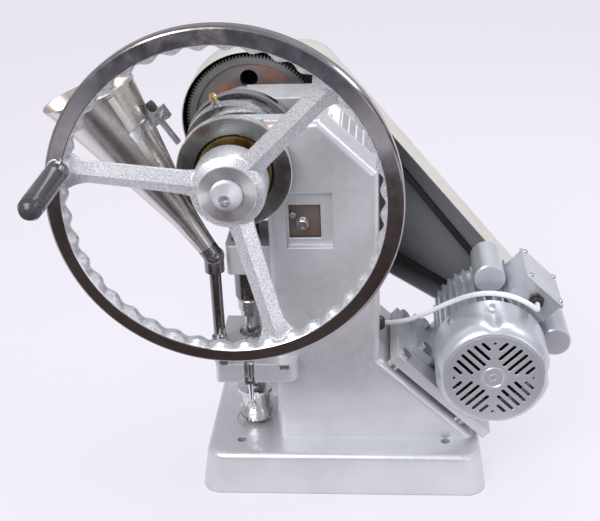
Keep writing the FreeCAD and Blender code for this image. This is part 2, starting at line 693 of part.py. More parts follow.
def ram():
    centre = ("shaft_x", "tool_y", "ram_bottom")
    length = "ram_top - ram_bottom"
    shank = turned([(0, 0), ("ram_radius - 1", 0), ("ram_radius", 1),
                    ("ram_radius", length + " - 2"), ("ram_radius - 2", length), (0, length)],
                   centre)
    slot = box((60, 14, 40), ("shaft_x - 30", "tool_y - 7", PIN_Z + " - 13"))
    bore = cylinder(6, 60, ("shaft_x", "tool_y - 30", PIN_Z), "y")
    node(cut(shank, slot, bore), "ram")
    pin = cylinder(6, 33, ("shaft_x", "tool_y - 16.5", PIN_Z), "y")
    node(pin, "wrist_pin")
    holder = turned([(8.5, 0), (13, 0), (13, 7), (15.5, 9), (15.5, 22), (12, 26), (8.5, 26)],
                    ("shaft_x", "tool_y", "ram_bottom - 26"))
    node(holder, "punch_holder")
    tip = "upper_tip"
    punch = turned([(0, "ram_bottom"), (8.5, "ram_bottom"), (8.5, tip + " + 9"),
                    ("punch_radius", tip + " + 6"), ("punch_radius", tip), (0, tip)],
                   ("shaft_x", "tool_y", 0))
    node(punch, "upper_punch")


def lower_tooling():
    bore = "punch_radius + running_gap"
    seat = "lower_tip - 2"
    die = turned([(bore, seat), ("die_radius", seat), ("die_radius", "platform_top"),
                  (bore, "platform_top")], ("shaft_x", "tool_y", 0))
    node(die, "die")
    rod = turned([(0, 118), ("rod_radius", 118), ("rod_radius", 328), (5, 331), (0, 331)],
                 ("shaft_x", "rod_y", 0))
    node(rod, "lift_rod")
    arm = box((22, 50, 13), ("shaft_x - 11", "tool_y - 14", 118))
    yoke = rounded(arm, 9, lambda e: abs(direction(e).z) > 0.9)
    holes = [cylinder("rod_radius", 40, ("shaft_x", "rod_y", 100)),
             cylinder("punch_radius", 40, ("shaft_x", "tool_y", 100))]
    node(cut(yoke, *holes), "lift_yoke")
    punch = turned([(0, 116), ("punch_radius", 116), ("punch_radius", "lower_tip"),
                    (0, "lower_tip")], ("shaft_x", "tool_y", 0))
    node(punch, "lower_punch")
    rod = turned([(0, 112), (5.5, 112), (5.5, 118), (3.5, 120), (3.5, 176), (0, 176)],
                 ("shaft_x + 2.5", "platform_front + 8", 0))
    clip = box((13.4, 8, 6), ("shaft_x - 4.2", "platform_front + 4", "platform_bottom - 6"))
    node(fuse(rod, clip), "stop_rod")


def lift_lever():
    """Bell arm on the lever pin; its roller runs under the lift cam."""
    pivot = (-49, 5, 379)
    arm = plate([(8, -8), (-10, -11), (-68, -43), (-78, -42), (-78, -30), (-64, -27), (-8, 9)], 9,
                pivot)
    hub = cylinder(12, 13, (-49, 3, 379), "y")
    roller = cylinder(9, 13, ("shaft_x", 3, 343), "y")
    bore = cylinder("6 + running_gap", 40, (-49, -10, 379), "y")
    node(cut(fuse(arm, hub, roller), bore), "lift_lever")


def adjuster():
    """Toothed filling-depth adjuster standing on the base, on its threaded stud."""
    low = "base_height + 3"
    body = turned([("8 + running_gap", low), (17, low), (22, low + " + 4"), (22, 76), (19, 80),
                   (19, 98), (16, 102), (24, 103), (24, 108), ("8 + running_gap", 108)],
                  ("shaft_x", "tool_y", 0))
    notches = []
    for tooth in range(24):
        spot = Rotation(V(0, 0, 1), tooth * 15)
        notch = box((8, 2.6, 12), ("0", "0", "0"))
        corner = spot.multVec(V(18.5, -1.3, 0))
        move(notch, ("shaft_x + %f" % corner.x, "tool_y + %f" % corner.y, 56), spot)
        notches.append(notch)
    key = cylinder(3.4, 20, ("shaft_x - 2", "tool_y - 25", 88), "y")
    waist = [box((14, 14, 10), ("shaft_x - 7", "tool_y + %d" % y, 100.9)) for y in (-34, 20)]
    node(cut(body, key, *notches, *waist), "adjuster_chuck")
    stud = turned([(0, "base_height - 12"), (8, "base_height - 12"), (8, 110), (6, 112), (0, 112)],
                  ("shaft_x", "tool_y", 0))
    node(stud, "adjuster_stud")


def hold_down():
    stud = fuse(cylinder(4, 56, (-150, -79, "platform_top - 10")),
                hexagon(7.5, 6, (-150, -79, "platform_top + 31")),
                cylinder(8, 1.6, (-150, -79, "platform_top + 29")))
    node(stud, "hold_down_stud")
    spring = turned([(4.6, 0), (6.6, 0), (6.6, 14), (4.6, 14)],
                    (-150, -79, "platform_top + 14.6"))
    node(spring, "hold_down_spring")


# ---------------------------------------------------------------- feeder

def feeder():
    hub = cylinder(15, 14, ("pipe_x", "pipe_y", "platform_top + 0.3"))
    nose = cylinder(20.5, 12, ("shaft_x", "tool_y", "platform_top + 0.3"))
    run = V(number("shaft_x - pipe_x"), number("tool_y - pipe_y"), 0)
    turn = Rotation(V(1, 0, 0), run)
    side = turn.multVec(V(0, -14, 0))
    neck = box((run.Length, 28, 12), ("0", "0", "0"))
    move(neck, ("pipe_x + %f" % side.x, "pipe_y + %f" % side.y, "platform_top + 0.3"), turn)
    lug = cylinder(13, 14, (-150, -79, "platform_top + 0.3"))
    lug_neck = box((18, 22, 14), (-164, -80, "platform_top + 0.3"))
    chamber = cylinder(16, 30, ("shaft_x", "tool_y", "platform_top - 5"))
    clear = cylinder(8, 30, (-150, -79, "platform_top - 5"))
    shoe = cut(fuse(hub, nose, neck, lug, lug_neck), chamber, clear)
    node(shoe, "feed_shoe")
    bore = "pipe_radius - 2"
    low = "platform_top + 14.3"
    pipe = turned([(bore, low), ("pipe_radius + 3", low), ("pipe_radius + 3", "platform_top + 24"),
                   ("pipe_radius", "platform_top + 27"), ("pipe_radius", "elbow_z - 16"),
                   (bore, "elbow_z - 16")], ("pipe_x", "pipe_y", 0))
    node(pipe, "feed_pipe")
    hopper()


def cone_radius(along):
    """Outside radius of the hopper's cone at a distance up its axis."""
    return 4.4 + 0.198 * along


def hopper():
    """Stainless cone on an angled spout; its mouth is cut nearer level than its axis asks."""
    lean = Rotation(V(0, 1, 0), -number("hopper_tilt"))
    at = ("pipe_x", "pipe_y", "elbow_z")
    end = number("hopper_length") + 20
    inner = number("sheet") * 1.02
    shell = turned([(12.5, 16), (14.5, 40), (cone_radius(62), 62), (cone_radius(end), end),
                    (cone_radius(end) - inner, end), (cone_radius(62) - inner, 62.3),
                    (13, 40.2), (11, 16)], at, lean)
    level = Rotation(V(0, 1, 0), -number("mouth_slope"))
    middle = lean.multVec(V(0, 0, number("hopper_length")))
    corner = middle + level.multVec(V(-80, -80, 0))
    above = box((160, 160, 60), (0, 0, 0))
    move(above, ("pipe_x + %f" % corner.x, "pipe_y - 80", "elbow_z + %f" % corner.z), level)
    node(cut(shell, above), "hopper")
    spout = fuse(cylinder("12.5", 24, at, lean), cylinder("12.5", 24, ("pipe_x", "pipe_y",
                 "elbow_z - 20")))
    ball = add("Part::Sphere", "ball")
    bind(ball, Radius="13.5")
    move(ball, at)
    slim = cylinder("pipe_radius - 2", 50, ("pipe_x", "pipe_y", "elbow_z - 40"))
    seat = cylinder("pipe_radius", 6, ("pipe_x", "pipe_y", "elbow_z - 21"))
    throat = cylinder("pipe_radius - 2", 60, at, lean)
    mouth_seat = turned([(0, 15.8), (12.7, 15.8), (17, 32), (0, 32)], at, lean)
    node(cut(fuse(spout, ball), slim, seat, throat, mouth_seat), "feed_elbow")
    clamp(at, lean)


def clamp(at, lean):
    """Saddle on the hopper's side, its lug, knob, and the flat bar out to the feed cam."""
    def beside_hopper(along, out):
        spot = lean.multVec(V(out, 0, along))
        return V(number("pipe_x"), number("pipe_y"), number("elbow_z")) + spot
    low = 178
    gap = 0.1
    pad = 1.8
    high = low + 14
    band = turned([(cone_radius(low) + gap, low), (cone_radius(low) + pad, low),
                   (cone_radius(high) + pad, high), (cone_radius(high) + gap, high)], at, lean)
    far = beside_hopper(low - 30, 22)
    trim = box((90, 120, 80), (0, 0, 0))
    shift = lean.multVec(V(-90, 0, 0))
    move(trim, (far.x + shift.x, "pipe_y - 60", far.z + shift.z), lean)
    corner = beside_hopper(low - 1, 38)
    lug = box((26, 12, 16), (0, 0, 0))
    move(lug, (corner.x, "pipe_y - 6", corner.z), lean)
    rod = feed_rod(beside_hopper(low + 7, 58.5))
    stem = beside_hopper(low + 15, 51.5)
    knob = turned([(0, -8), (3, -8), (3, 1), (5.5, 1), (5.5, 9), (4.5, 12), (0, 12)],
                  (stem.x, "pipe_y", stem.z), lean)
    node(rod, "feed_rod")
    node(knob, "clamp_knob")
    below = low - 20
    above = high + 20
    hollow = turned([(0, below), (cone_radius(below) + gap, below),
                     (cone_radius(above) + gap, above), (0, above)], at, lean)
    node(cut(fuse(cut(band, trim), lug), rod, knob, hollow), "hopper_clamp")


def feed_rod(start):
    """Flat bar from the hopper clamp to the feed cam, on a round post."""
    angle = math.radians(150)
    reach = number("cam_radius") + 4.6
    end = V(GEAR_CENTRE[0] + reach * math.cos(angle), 0, GEAR_CENTRE[1] + reach * math.sin(angle))
    start.y = 0
    run = end - start
    turn = Rotation(V(1, 0, 0), run)
    bar = box((run.Length + 6, 8, 5), (0, 0, 0))
    corner = start - V(run).normalize() * 6 + turn.multVec(V(0, 0, -2.5))
    move(bar, (corner.x, "cam_y + 2", corner.z), turn)
    post = cylinder(3.5, "pipe_y - cam_y + 4", (start.x, "cam_y + 2", start.z), "y")
    return fuse(bar, post)


# ---------------------------------------------------------------- motor

def motor_body():
    """Finned stator housing with two feet."""
    fins = 36
    core = number("motor_core")
    reach = number("fin_radius")
    points = []
    for fin in range(fins):
        middle = 360.0 * fin / fins
        for radius, offset in ((core, -2.6), (reach, -1.4), (reach, 1.4), (core, 2.6)):
            points.append(polar(radius, middle + offset * (core / radius) + 90))
    front = number("cowl_back") + 8
    length = number("motor_back") - front
    ribbed = Part.Face(Part.makePolygon(points + points[:1])).extrude(V(0, length, 0))
    ribbed.translate(V(0, front, 0))
    for y in (number("cowl_back"), number("motor_back") - 8):
        ribbed = ribbed.fuse(Part.makeCylinder(core + 5, 14 if y < 0 else 8, V(0, y, 0),
                                               V(0, 1, 0)))
    height = number("motor_height")
    for side in (-1, 1):
        pad = Part.makeBox(30, 90, 10, V(side * 52 - 15, -30, -height))
        leg = Part.makeBox(12, 80, 40, V(side * 36 - 6, -25, -height + 4))
        ribbed = ribbed.fuse([pad, leg])
    for x, y in FOOT_BOLTS:
        ribbed = ribbed.cut(Part.makeCylinder(5, 20, V(x, y, -height - 5)))
    flat = Part.makeBox(60, 86, 12, V(-34, -20, 60))
    ribbed = ribbed.fuse(flat)
    ribbed = ribbed.cut(Part.makeCylinder(34, 400, V(0, -200, 0), V(0, 1, 0)))
    return node(on_motor(feature(ribbed)), "motor_body")


def motor_covers():
    shield = turned([(8.2, 0), (62, 0), (62, 4), (56, 10), (34, 16), (24, 24), (8.2, 24)],
                    (0, "motor_back", 0), "y")
    node(on_motor(group(shield)), "drive_shield")


def fan_cowl():
    """Pressed cowl with four groups of rounded slots in its face."""
    outer = "cowl_radius"
    face = "cowl_back - cowl_front"
    shell = turned([("cowl_radius - 2", -14), (outer, -14), (outer, face + " - 12"),
                    (outer + " - 4", face + " - 5"), (outer + " - 12", face),
                    (15, face), (15, face + " + 1"), (0, face + " + 1"), (0, face + " - 2"),
                    (outer + " - 13", face + " - 2"), (outer + " - 6", face + " - 6.5"),
                    (outer + " - 2", face + " - 12.5")], (0, "cowl_back", 0), "-y")
    slots = []
    reach = 52.5
    for quarter in range(4):
        turn = Rotation(V(0, 1, 0), 45 + 90 * quarter - number("motor_tilt"))
        for lane in range(6):
            offset = (lane - 2.5) * 9.6
            first = max(19.5, abs(offset) + 7.5)
            last = math.sqrt(reach ** 2 - offset ** 2)
            slot = box((4.6, 8, last - first), (0, 0, 0))
            corner = turn.multVec(V(offset - 2.3, 0, first))
            move(slot, ("%f" % corner.x, "cowl_front - 4", "%f" % corner.z), turn)
            slots.append(slot)
        hole = polar(reach - 3.5, 90 * quarter + number("motor_tilt"))
        slots.append(cylinder(2, 8, ("%f" % hole.x, "cowl_front - 4", "%f" % hole.z), "y"))
    hood = cut(shell, *slots)
    node(on_motor(hood), "fan_cowl")
    screws = []
    for angle in (0, 134, 180, 270):
        spot = polar(number("cowl_radius"), angle)
        tilt = Rotation(V(0, 0, 1), V(math.cos(math.radians(angle)), 0,
                                      math.sin(math.radians(angle))))
        screws.append(move(cylinder(4, 2.4, (0, 0, 0)), (spot.x, "cowl_back - 2", spot.z), tilt))
    node(on_motor(group(*screws)), "cowl_screws")


def motor_electrics():
    case = cut(box((62, 78, 30), (-36, -26, 72)), box((56, 72, 28), (-33, -23, 75)))
    node(on_motor(case), "terminal_box")
    lid = box((66, 82, 5), (-38, -28, 102))
    doc.recompute()
    node(on_motor(rounded(lid, 3, lambda e: e.BoundBox.ZMin > 105)), "terminal_lid")
    gland = fuse(hexagon(10, 6, (-4, -26, 88), "-y"), cylinder(7.6, 6, (-4, -32, 88), "-y"))
    hole = cylinder("cable_radius", 5, (-4, -34, 88), "-y")
    node(on_motor(cut(gland, hole)), "cable_gland")
    cans = []
    for angle in (134, 41.5):
        spot = polar(89, angle)
        cans.append(turned([(0, 0), (18, 0), (20, 2), (20, 74), (18, 77), (0, 77)],
                           ("%f" % spot.x, -14, "%f" % spot.z), "y"))
    node(on_motor(group(*cans)), "capacitors")


def motor_rotor():
    shaft = turned([(0, -92), (6, -92), (6, -60), (8, -60), (8, 152), (0, 152)],
                   ("motor_x", 0, "motor_z"), "y")
    core = cylinder(33, 90, ("motor_x", -40, "motor_z"), "y")
    node(fuse(shaft, core), "motor_shaft")
    blades = []
    for blade in range(8):
        turn = Rotation(V(0, 1, 0), 45 * blade)
        vane = box((2, 22, 40), (0, 0, 0))
        corner = turn.multVec(V(-1, 0, 13))
        move(vane, ("motor_x + %f" % corner.x, -94, "motor_z + %f" % corner.z), turn)
        blades.append(vane)
    disc = cylinder(54, 2.5, ("motor_x", -74, "motor_z"), "y")
    hub = cylinder(15, 24, ("motor_x", -94, "motor_z"), "y")
    bore = cylinder(6, 60, ("motor_x", -110, "motor_z"), "y")
    node(cut(fuse(disc, hub, *blades), bore), "cooling_fan")
    node(pulley("small_pulley", 8, "belt_y", lambda y: ("motor_x", y, "motor_z")), "motor_pulley")


def rib_gap():
    """Clear distance between the rib's slope and the underside of the motor plate."""
    tilt = math.radians(number("motor_tilt"))
    across = number("motor_x - column_right") * math.sin(tilt)
    up = number("motor_z - rib_top") * math.cos(tilt)
    return across + up - number("motor_height + motor_slab")


FOOT_BOLTS = [(x, y) for x in (-52, 52) for y in (-20, 46)]
RIB_BOLTS = [(-80, -56), (-80, 50), (40, -56), (12, 50)]


def motor_mount():
    """Inclined plate that carries the motor, bolted over the rib on four spacers."""
    height = number("motor_height")
    slab = box((168, 128, "motor_slab"), (-92, -70, "-motor_height - motor_slab"))
    window = box((60, 60, 40), (-40, -30, -height - 20))
    holes = [cylinder(5, 40, (x, y, -height - 25)) for x, y in FOOT_BOLTS + RIB_BOLTS]
    node(on_motor(cut(slab, window, *holes)), "motor_plate")
    bolts = []
    for x, y in FOOT_BOLTS:
        bolts.append(fuse(cylinder(4.6, 30, (x, y, -height - 16)),
                          hexagon(8, 6, (x, y, -height + 10)),
                          hexagon(8, 6, (x, y, "-motor_height - motor_slab - 6"))))
    spacer = rib_gap() - 0.2
    for x, y in RIB_BOLTS:
        bolts.append(fuse(cylinder(4.6, 20, (x, y, -height - 16)),
                          cylinder(9, spacer, (x, y, "-motor_height - motor_slab - %f" % spacer)),
                          hexagon(8, 5, (x, y, -height))))
    node(on_motor(group(*bolts)), "plate_bolts")


CABLE = [(249.3, -36, 239.1), (249.3, -60, 239.1), (236, -74, 258), (208, -74, 272),
         (172, -62, 268), (140, -44, 246), (108, -22, 216), (76, -4, 193), (50, 0, 191)]


def rounded_route(points, low_share=0.45):
    """Straight runs joined by tangent arcs, each as large as its runs allow."""
    spots = [V(*p) for p in points]
    edges = []
    start = spots[0]
    for before, here, after in zip(spots, spots[1:], spots[2:]):
        into = (here - before).normalize()
        out = (after - here).normalize()
        turn = into.getAngle(out)
        shorter = min((here - before).Length, (after - here).Length)
        radius = low_share * shorter / math.tan(turn / 2)
        back = here - into * low_share * shorter
        ahead = here + out * low_share * shorter
        bisector = (out - into).normalize()
        centre = here + bisector * (radius / math.cos(turn / 2))
        middle = centre - bisector * radius
        edges.append(Part.LineSegment(start, back).toShape())
        edges.append(Part.Arc(back, middle, ahead).toShape())
        print("cable bend radius %.1f mm, turn %.0f degrees" % (radius, math.degrees(turn)))
        start = ahead
    edges.append(Part.LineSegment(start, spots[-1]).toShape())
    return Part.Wire(edges)


def motor_cable():
    route = rounded_route(CABLE)
    radius = number("cable_radius")
    heading = (V(*CABLE[1]) - V(*CABLE[0])).normalize()
    ring = Part.Wire(Part.makeCircle(radius, V(*CABLE[0]), heading))
    tube = route.makePipeShell([ring], True, False)
    expected = math.pi * radius ** 2 * route.Length
    print("cable length %.1f mm, volume %.0f of %.0f" % (route.Length, tube.Volume, expected))
    node(feature(tube), "motor_cable")
    sleeve = turned([("cable_radius + 0.1", -6), (6, -6), (6, 0), (10, 0), (9, 4), (6, 7),
                     ("cable_radius + 0.1", 7)], ("column_right", 0, 191), "x")
    node(sleeve, "frame_grommet")


# ---------------------------------------------------------------- assembly

frame_casting()
frame_fittings()
name_plate()
belt_guard()
guard_studs()
v_belt()
node(pulley("big_pulley", "pinion_shaft_radius", "belt_y", beside_pinion), "big_pulley")
main_gear()
pinion_shaft()
main_shaft()
hand_wheel()
crank_handle()
cams()
strap()
ram()
lower_tooling()
lift_lever()
adjuster()
hold_down()
feeder()
motor_body()
motor_covers()
fan_cowl()
motor_electrics()
motor_rotor()
motor_mount()
motor_cable()
doc.recompute()

failed = [o.Name for o in doc.Objects if "Invalid" in o.State or "Error" in o.State]
if failed:
    raise SystemExit("objects failed: %s" % failed)
os.makedirs("parts", exist_ok=True)
for thing in NODES:
    if thing.Shape.isNull() or not thing.Shape.isValid():
        raise SystemExit("bad shape: " + thing.Label)
    thing.Shape.exportStep("parts/%s.step" % thing.Label)
print(len(NODES), "nodes written")
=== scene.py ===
"""Desktop single-punch tablet press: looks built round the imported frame, in metres."""

import math

import bmesh
import bpy
from mathutils import Matrix, Vector
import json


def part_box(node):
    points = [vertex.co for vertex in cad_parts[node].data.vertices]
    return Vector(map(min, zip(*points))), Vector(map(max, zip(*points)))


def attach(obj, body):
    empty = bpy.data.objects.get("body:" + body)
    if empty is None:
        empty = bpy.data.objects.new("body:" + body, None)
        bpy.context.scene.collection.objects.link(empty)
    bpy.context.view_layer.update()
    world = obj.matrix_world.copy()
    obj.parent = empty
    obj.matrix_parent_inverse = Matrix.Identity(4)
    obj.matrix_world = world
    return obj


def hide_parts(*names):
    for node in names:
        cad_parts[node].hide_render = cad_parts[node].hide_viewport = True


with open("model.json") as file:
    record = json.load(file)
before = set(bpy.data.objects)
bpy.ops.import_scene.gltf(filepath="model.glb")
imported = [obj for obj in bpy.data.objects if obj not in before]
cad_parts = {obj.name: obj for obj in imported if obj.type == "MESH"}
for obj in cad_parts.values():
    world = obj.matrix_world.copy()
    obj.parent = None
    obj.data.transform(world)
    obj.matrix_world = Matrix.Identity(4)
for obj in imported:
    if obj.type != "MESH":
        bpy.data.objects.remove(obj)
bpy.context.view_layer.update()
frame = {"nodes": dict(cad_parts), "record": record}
NODES = frame["nodes"]
MM = 0.001


# ---------------------------------------------------------------- places, from the design

SHAFT = Vector((-120, 0, 440)) * MM
MOTOR = Vector((191, 0, 173)) * MM
MOTOR_TILT = math.radians(44)
PIPE = Vector((-157, -58, 318)) * MM
HOPPER_TILT = math.radians(31.5)
MOUTH_SLOPE = math.radians(13)
HOPPER_LENGTH = 255
WHEEL_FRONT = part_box("handwheel")[0].y
GUARD_LOW, GUARD_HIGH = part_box("belt_guard")
GRIP_ANGLE = math.radians(166)
SPOKE_ANGLES = [math.radians(47 + 120 * arm) for arm in range(3)]
CABLE = [(249.3, -36, 239.1), (249.3, -60, 239.1), (236, -74, 258), (208, -74, 272),
         (172, -62, 268), (140, -44, 246), (108, -22, 216), (76, -4, 193), (50, 0, 191)]
CABLE_DIAMETER = 6.4 * MM

ABOUT_SHAFT = Matrix.Translation(SHAFT) @ Matrix.Rotation(math.radians(90), 4, "X")
ABOUT_MOTOR = Matrix.Translation(MOTOR) @ Matrix.Rotation(MOTOR_TILT, 4, "Y")
ABOUT_HOPPER = Matrix.Translation(PIPE) @ Matrix.Rotation(-HOPPER_TILT, 4, "Y")


# ---------------------------------------------------------------- camera, light and floor

def set_camera(place, azimuth, elevation, roll, lens):
    """Camera at place, looking along azimuth (from +Y towards -X) and down by elevation."""
    a, e, r = (math.radians(x) for x in (azimuth, elevation, roll))
    right = Vector((math.cos(a), math.sin(a), 0))
    ahead = Vector((-math.sin(a) * math.cos(e), math.cos(a) * math.cos(e), -math.sin(e)))
    up = right.cross(ahead)
    turned = Matrix((math.cos(r) * right + math.sin(r) * up,
                     math.cos(r) * up - math.sin(r) * right, -ahead)).transposed()
    data = bpy.data.cameras.new("camera")
    data.lens = lens
    data.sensor_width = 36
    camera = bpy.data.objects.new("camera", data)
    camera.matrix_world = Matrix.Translation(place) @ turned.to_4x4()
    bpy.context.scene.collection.objects.link(camera)
    bpy.context.scene.camera = camera


def area_light(name, place, target, size, power, colour=(1, 1, 1)):
    data = bpy.data.lights.new(name, "AREA")
    data.shape = "RECTANGLE"
    data.size, data.size_y = size
    data.energy = power
    data.color = colour
    light = bpy.data.objects.new(name, data)
    light.location = place
    light.rotation_euler = (Vector(target) - Vector(place)).to_track_quat("-Z", "Y").to_euler()
    bpy.context.scene.collection.objects.link(light)


def card(name, place, target, size, colour, strength):
    """A studio reflector: seen in reflections only."""
    half_width, half_height = size[0] / 2, size[1] / 2
    corners = [(-half_width, -half_height, 0), (half_width, -half_height, 0),
               (half_width, half_height, 0), (-half_width, half_height, 0)]
    piece = mesh_piece(name, corners, [(0, 1, 2, 3)])
    piece.location = place
    aim = (Vector(target) - Vector(place)).to_track_quat("Z", "Y")
    piece.rotation_euler = aim.to_euler()
    material = bpy.data.materials.new(name)
    material.use_nodes = True
    tree = material.node_tree
    tree.nodes.clear()
    glow = tree.nodes.new("ShaderNodeEmission")
    glow.inputs["Color"].default_value = (*colour, 1)
    glow.inputs["Strength"].default_value = strength
    out = tree.nodes.new("ShaderNodeOutputMaterial")
    tree.links.new(glow.outputs["Emission"], out.inputs["Surface"])
    piece.data.materials.append(material)
    piece.visible_camera = False
    piece.visible_diffuse = False
    piece.visible_shadow = False


def studio():
    world = bpy.data.worlds.new("studio")
    bpy.context.scene.world = world
    world.use_nodes = True
    sky = world.node_tree.nodes["Background"]
    sky.inputs["Color"].default_value = (0.80, 0.81, 0.88, 1)
    sky.inputs["Strength"].default_value = 0.62
    area_light("key", (-0.8, -1.5, 1.7), (0, 0, 0.3), (1.2, 0.9), 36)
    area_light("fill", (1.3, -1.5, 0.6), (0, 0, 0.15), (0.8, 1.0), 4, (0.95, 0.97, 1))
    area_light("rim", (1.5, 0.1, 1.3), (0, 0, 0.4), (0.5, 0.9), 9)
    area_light("top", (0.5, 0.9, 2.0), (0, 0, 0.3), (1.4, 0.9), 19)
    card("card_floor", (0.1, -1.23, 0.012), (0.1, -1.23, 1), (3.4, 1.96), (0.22, 0.16, 0.15), 0.42)
    card("card_wall", (-0.4, -2.6, 0.8), (0, 0, 0.4), (2.6, 1.2), (0.22, 0.23, 0.29), 0.60)
    card("card_left", (-1.7, -0.5, 0.5), (0, 0, 0.4), (0.7, 1.4), (0.55, 0.47, 0.44), 0.8)
    card("card_right", (1.6, 0.1, 0.9), (0, 0, 0.4), (0.5, 1.6), (0.16, 0.17, 0.20), 0.4)
    floor = mesh_piece("floor", [(-6, -6, 0), (6, -6, 0), (6, 6, 0), (-6, 6, 0)],
                       [(0, 1, 2, 3)])
    look = Look("floor", (0.15, 0.147, 0.16), 0, 0.9)
    look.set("Emission Color", (0.85, 0.82, 0.905, 1))
    look.set("Emission Strength", 0.81)
    floor.data.materials.append(look.material)


# ---------------------------------------------------------------- materials

class Look:
    """A Principled material and short ways to add its procedural detail."""

    def __init__(self, name, colour, metallic, roughness):
        self.material = bpy.data.materials.new(name)
        self.material.use_nodes = True
        self.tree = self.material.node_tree
        self.shader = self.tree.nodes["Principled BSDF"]
        self.set("Base Color", (*colour, 1))
        self.set("Metallic", metallic)
        self.set("Roughness", roughness)
        self.height = None

    def set(self, socket, value):
        self.shader.inputs[socket].default_value = value
        return self

    def add(self, kind, **settings):
        node = self.tree.nodes.new("ShaderNode" + kind)
        for name, value in settings.items():
            setattr(node, name, value)
        return node

    def put(self, source, target):
        self.tree.links.new(source, target)

    def place(self):
        """Object coordinates, which turn and slide with the piece."""
        return self.add("TexCoord").outputs["Object"]

    def noise(self, scale, detail=3.0, stretch=(1, 1, 1), rough=0.55):
        """Noise over the surface; stretch scales the three axes before it."""
        mapping = self.add("Mapping")
        self.put(self.place(), mapping.inputs["Vector"])
        mapping.inputs["Scale"].default_value = stretch
        grain = self.add("TexNoise")
        self.put(mapping.outputs["Vector"], grain.inputs["Vector"])
        grain.inputs["Scale"].default_value = scale
        grain.inputs["Detail"].default_value = detail
        grain.inputs["Roughness"].default_value = rough
        return grain.outputs["Fac"]

    def radius(self, centre, axis="Y"):
        """Distance from an axis through centre."""
        offset = self.add("VectorMath", operation="SUBTRACT")
        self.put(self.place(), offset.inputs[0])
        offset.inputs[1].default_value = centre
        flat = self.add("VectorMath", operation="MULTIPLY")
        self.put(offset.outputs["Vector"], flat.inputs[0])
        flat.inputs[1].default_value = [0 if a == axis else 1 for a in "XYZ"]
        length = self.add("VectorMath", operation="LENGTH")
        self.put(flat.outputs["Vector"], length.inputs[0])
        return length.outputs["Value"]

    def rings(self, centre, scale, axis="Y"):
        """Fine turning marks about an axis."""
        grain = self.add("TexNoise", noise_dimensions="1D")
        self.put(self.radius(centre, axis), grain.inputs["W"])
        grain.inputs["Scale"].default_value = scale
        grain.inputs["Detail"].default_value = 4
        return grain.outputs["Fac"]

    def remap(self, value, low, high, to_low=0.0, to_high=1.0):
        span = self.add("MapRange")
        self.put(value, span.inputs["Value"])
        for name, number in (("From Min", low), ("From Max", high),
                             ("To Min", to_low), ("To Max", to_high)):
            span.inputs[name].default_value = number
        return span.outputs["Result"]

    def ramp(self, value, *stops):
        """Colour ramp through (position, colour) stops."""
        ramp = self.add("ValToRGB")
        self.put(value, ramp.inputs["Fac"])
        elements = ramp.color_ramp.elements
        while len(elements) < len(stops):
            elements.new(1.0)
        for element, (position, colour) in zip(elements, stops):
            element.position = position
            element.color = (*colour, 1)
        return ramp.outputs["Color"]

    def mix(self, share, first, second):
        blend = self.add("Mix", data_type="RGBA")
        self.put(share, blend.inputs["Factor"])
        for index, colour in ((6, first), (7, second)):
            if isinstance(colour, tuple):
                blend.inputs[index].default_value = (*colour, 1)
            else:
                self.put(colour, blend.inputs[index])
        return blend.outputs[2]

    def inside(self, low, high, soft=0.6):
        """1 inside a box given in mm, 0 outside."""
        low, high = Vector(low) * MM, Vector(high) * MM
        offset = self.add("VectorMath", operation="SUBTRACT")
        self.put(self.place(), offset.inputs[0])
        offset.inputs[1].default_value = (low + high) / 2
        size = self.add("VectorMath", operation="ABSOLUTE")
        self.put(offset.outputs["Vector"], size.inputs[0])
        past = self.add("VectorMath", operation="SUBTRACT")
        self.put(size.outputs["Vector"], past.inputs[0])
        past.inputs[1].default_value = (high - low) / 2
        split = self.add("SeparateXYZ")
        self.put(past.outputs["Vector"], split.inputs["Vector"])
        most = split.outputs["X"]
        for axis in "YZ":
            larger = self.add("Math", operation="MAXIMUM")
            self.put(most, larger.inputs[0])
            self.put(split.outputs[axis], larger.inputs[1])
            most = larger.outputs["Value"]
        return self.remap(most, soft * MM, 0.0)

    def colour(self, source):
        self.put(source, self.shader.inputs["Base Color"])
        return self

    def rough(self, value, low, high):
        self.put(self.remap(value, 0.3, 0.7, low, high), self.shader.inputs["Roughness"])
        return self

    def bump(self, value, depth, strength=1.0):
        """Adds relief of that depth in metres; calls build on each other."""
        bump = self.add("Bump")
        self.put(value, bump.inputs["Height"])
        bump.inputs["Distance"].default_value = depth
        bump.inputs["Strength"].default_value = strength
        if self.height is not None:
            self.put(self.height, bump.inputs["Normal"])
        self.height = bump.outputs["Normal"]
        self.put(self.height, self.shader.inputs["Normal"])
        return self

    def soft_edges(self, radius):
        """Rounds edges in the shading, as a cast or painted edge is."""
        bevel = self.add("Bevel", samples=6)
        bevel.inputs["Radius"].default_value = radius
        self.height = bevel.outputs["Normal"]
        self.put(self.height, self.shader.inputs["Normal"])
        return self


def frame_paint():
    """Silver-grey cast paint; painted shade as near-black colour inside the hollow column, primer along
    one worn edge.
    """
    look = Look("frame_paint", (0.55, 0.555, 0.58), 0.55, 0.38)
    look.soft_edges(3.5 * MM)
    paint = look.ramp(look.noise(9, 4), (0.3, (0.57, 0.575, 0.60)), (0.7, (0.69, 0.695, 0.72)))
    # painted shade: near-black colour for the inside of the hollow column, standing in for the shade
    # there
    painted_shade_inside = look.ramp(look.noise(40, 3), (0.3, (0.035, 0.026, 0.022)), (0.7, (0.08, 0.06, 0.05)))
    hollow = look.inside((-78, -60, 40), (41, 74, 430))
    edge = look.inside((-86, -73, 493), (-40, -66, 498.5), 2)
    worn = look.mix(edge, paint, (0.62, 0.44, 0.43))
    look.colour(look.mix(hollow, worn, painted_shade_inside))
    look.rough(look.noise(160, 2), 0.32, 0.46)
    look.bump(look.noise(26, 3), 0.5 * MM, 0.25)
    look.bump(look.noise(900, 2), 0.05 * MM, 0.4)
    look.set("Coat Weight", 0.2)
    return look.material


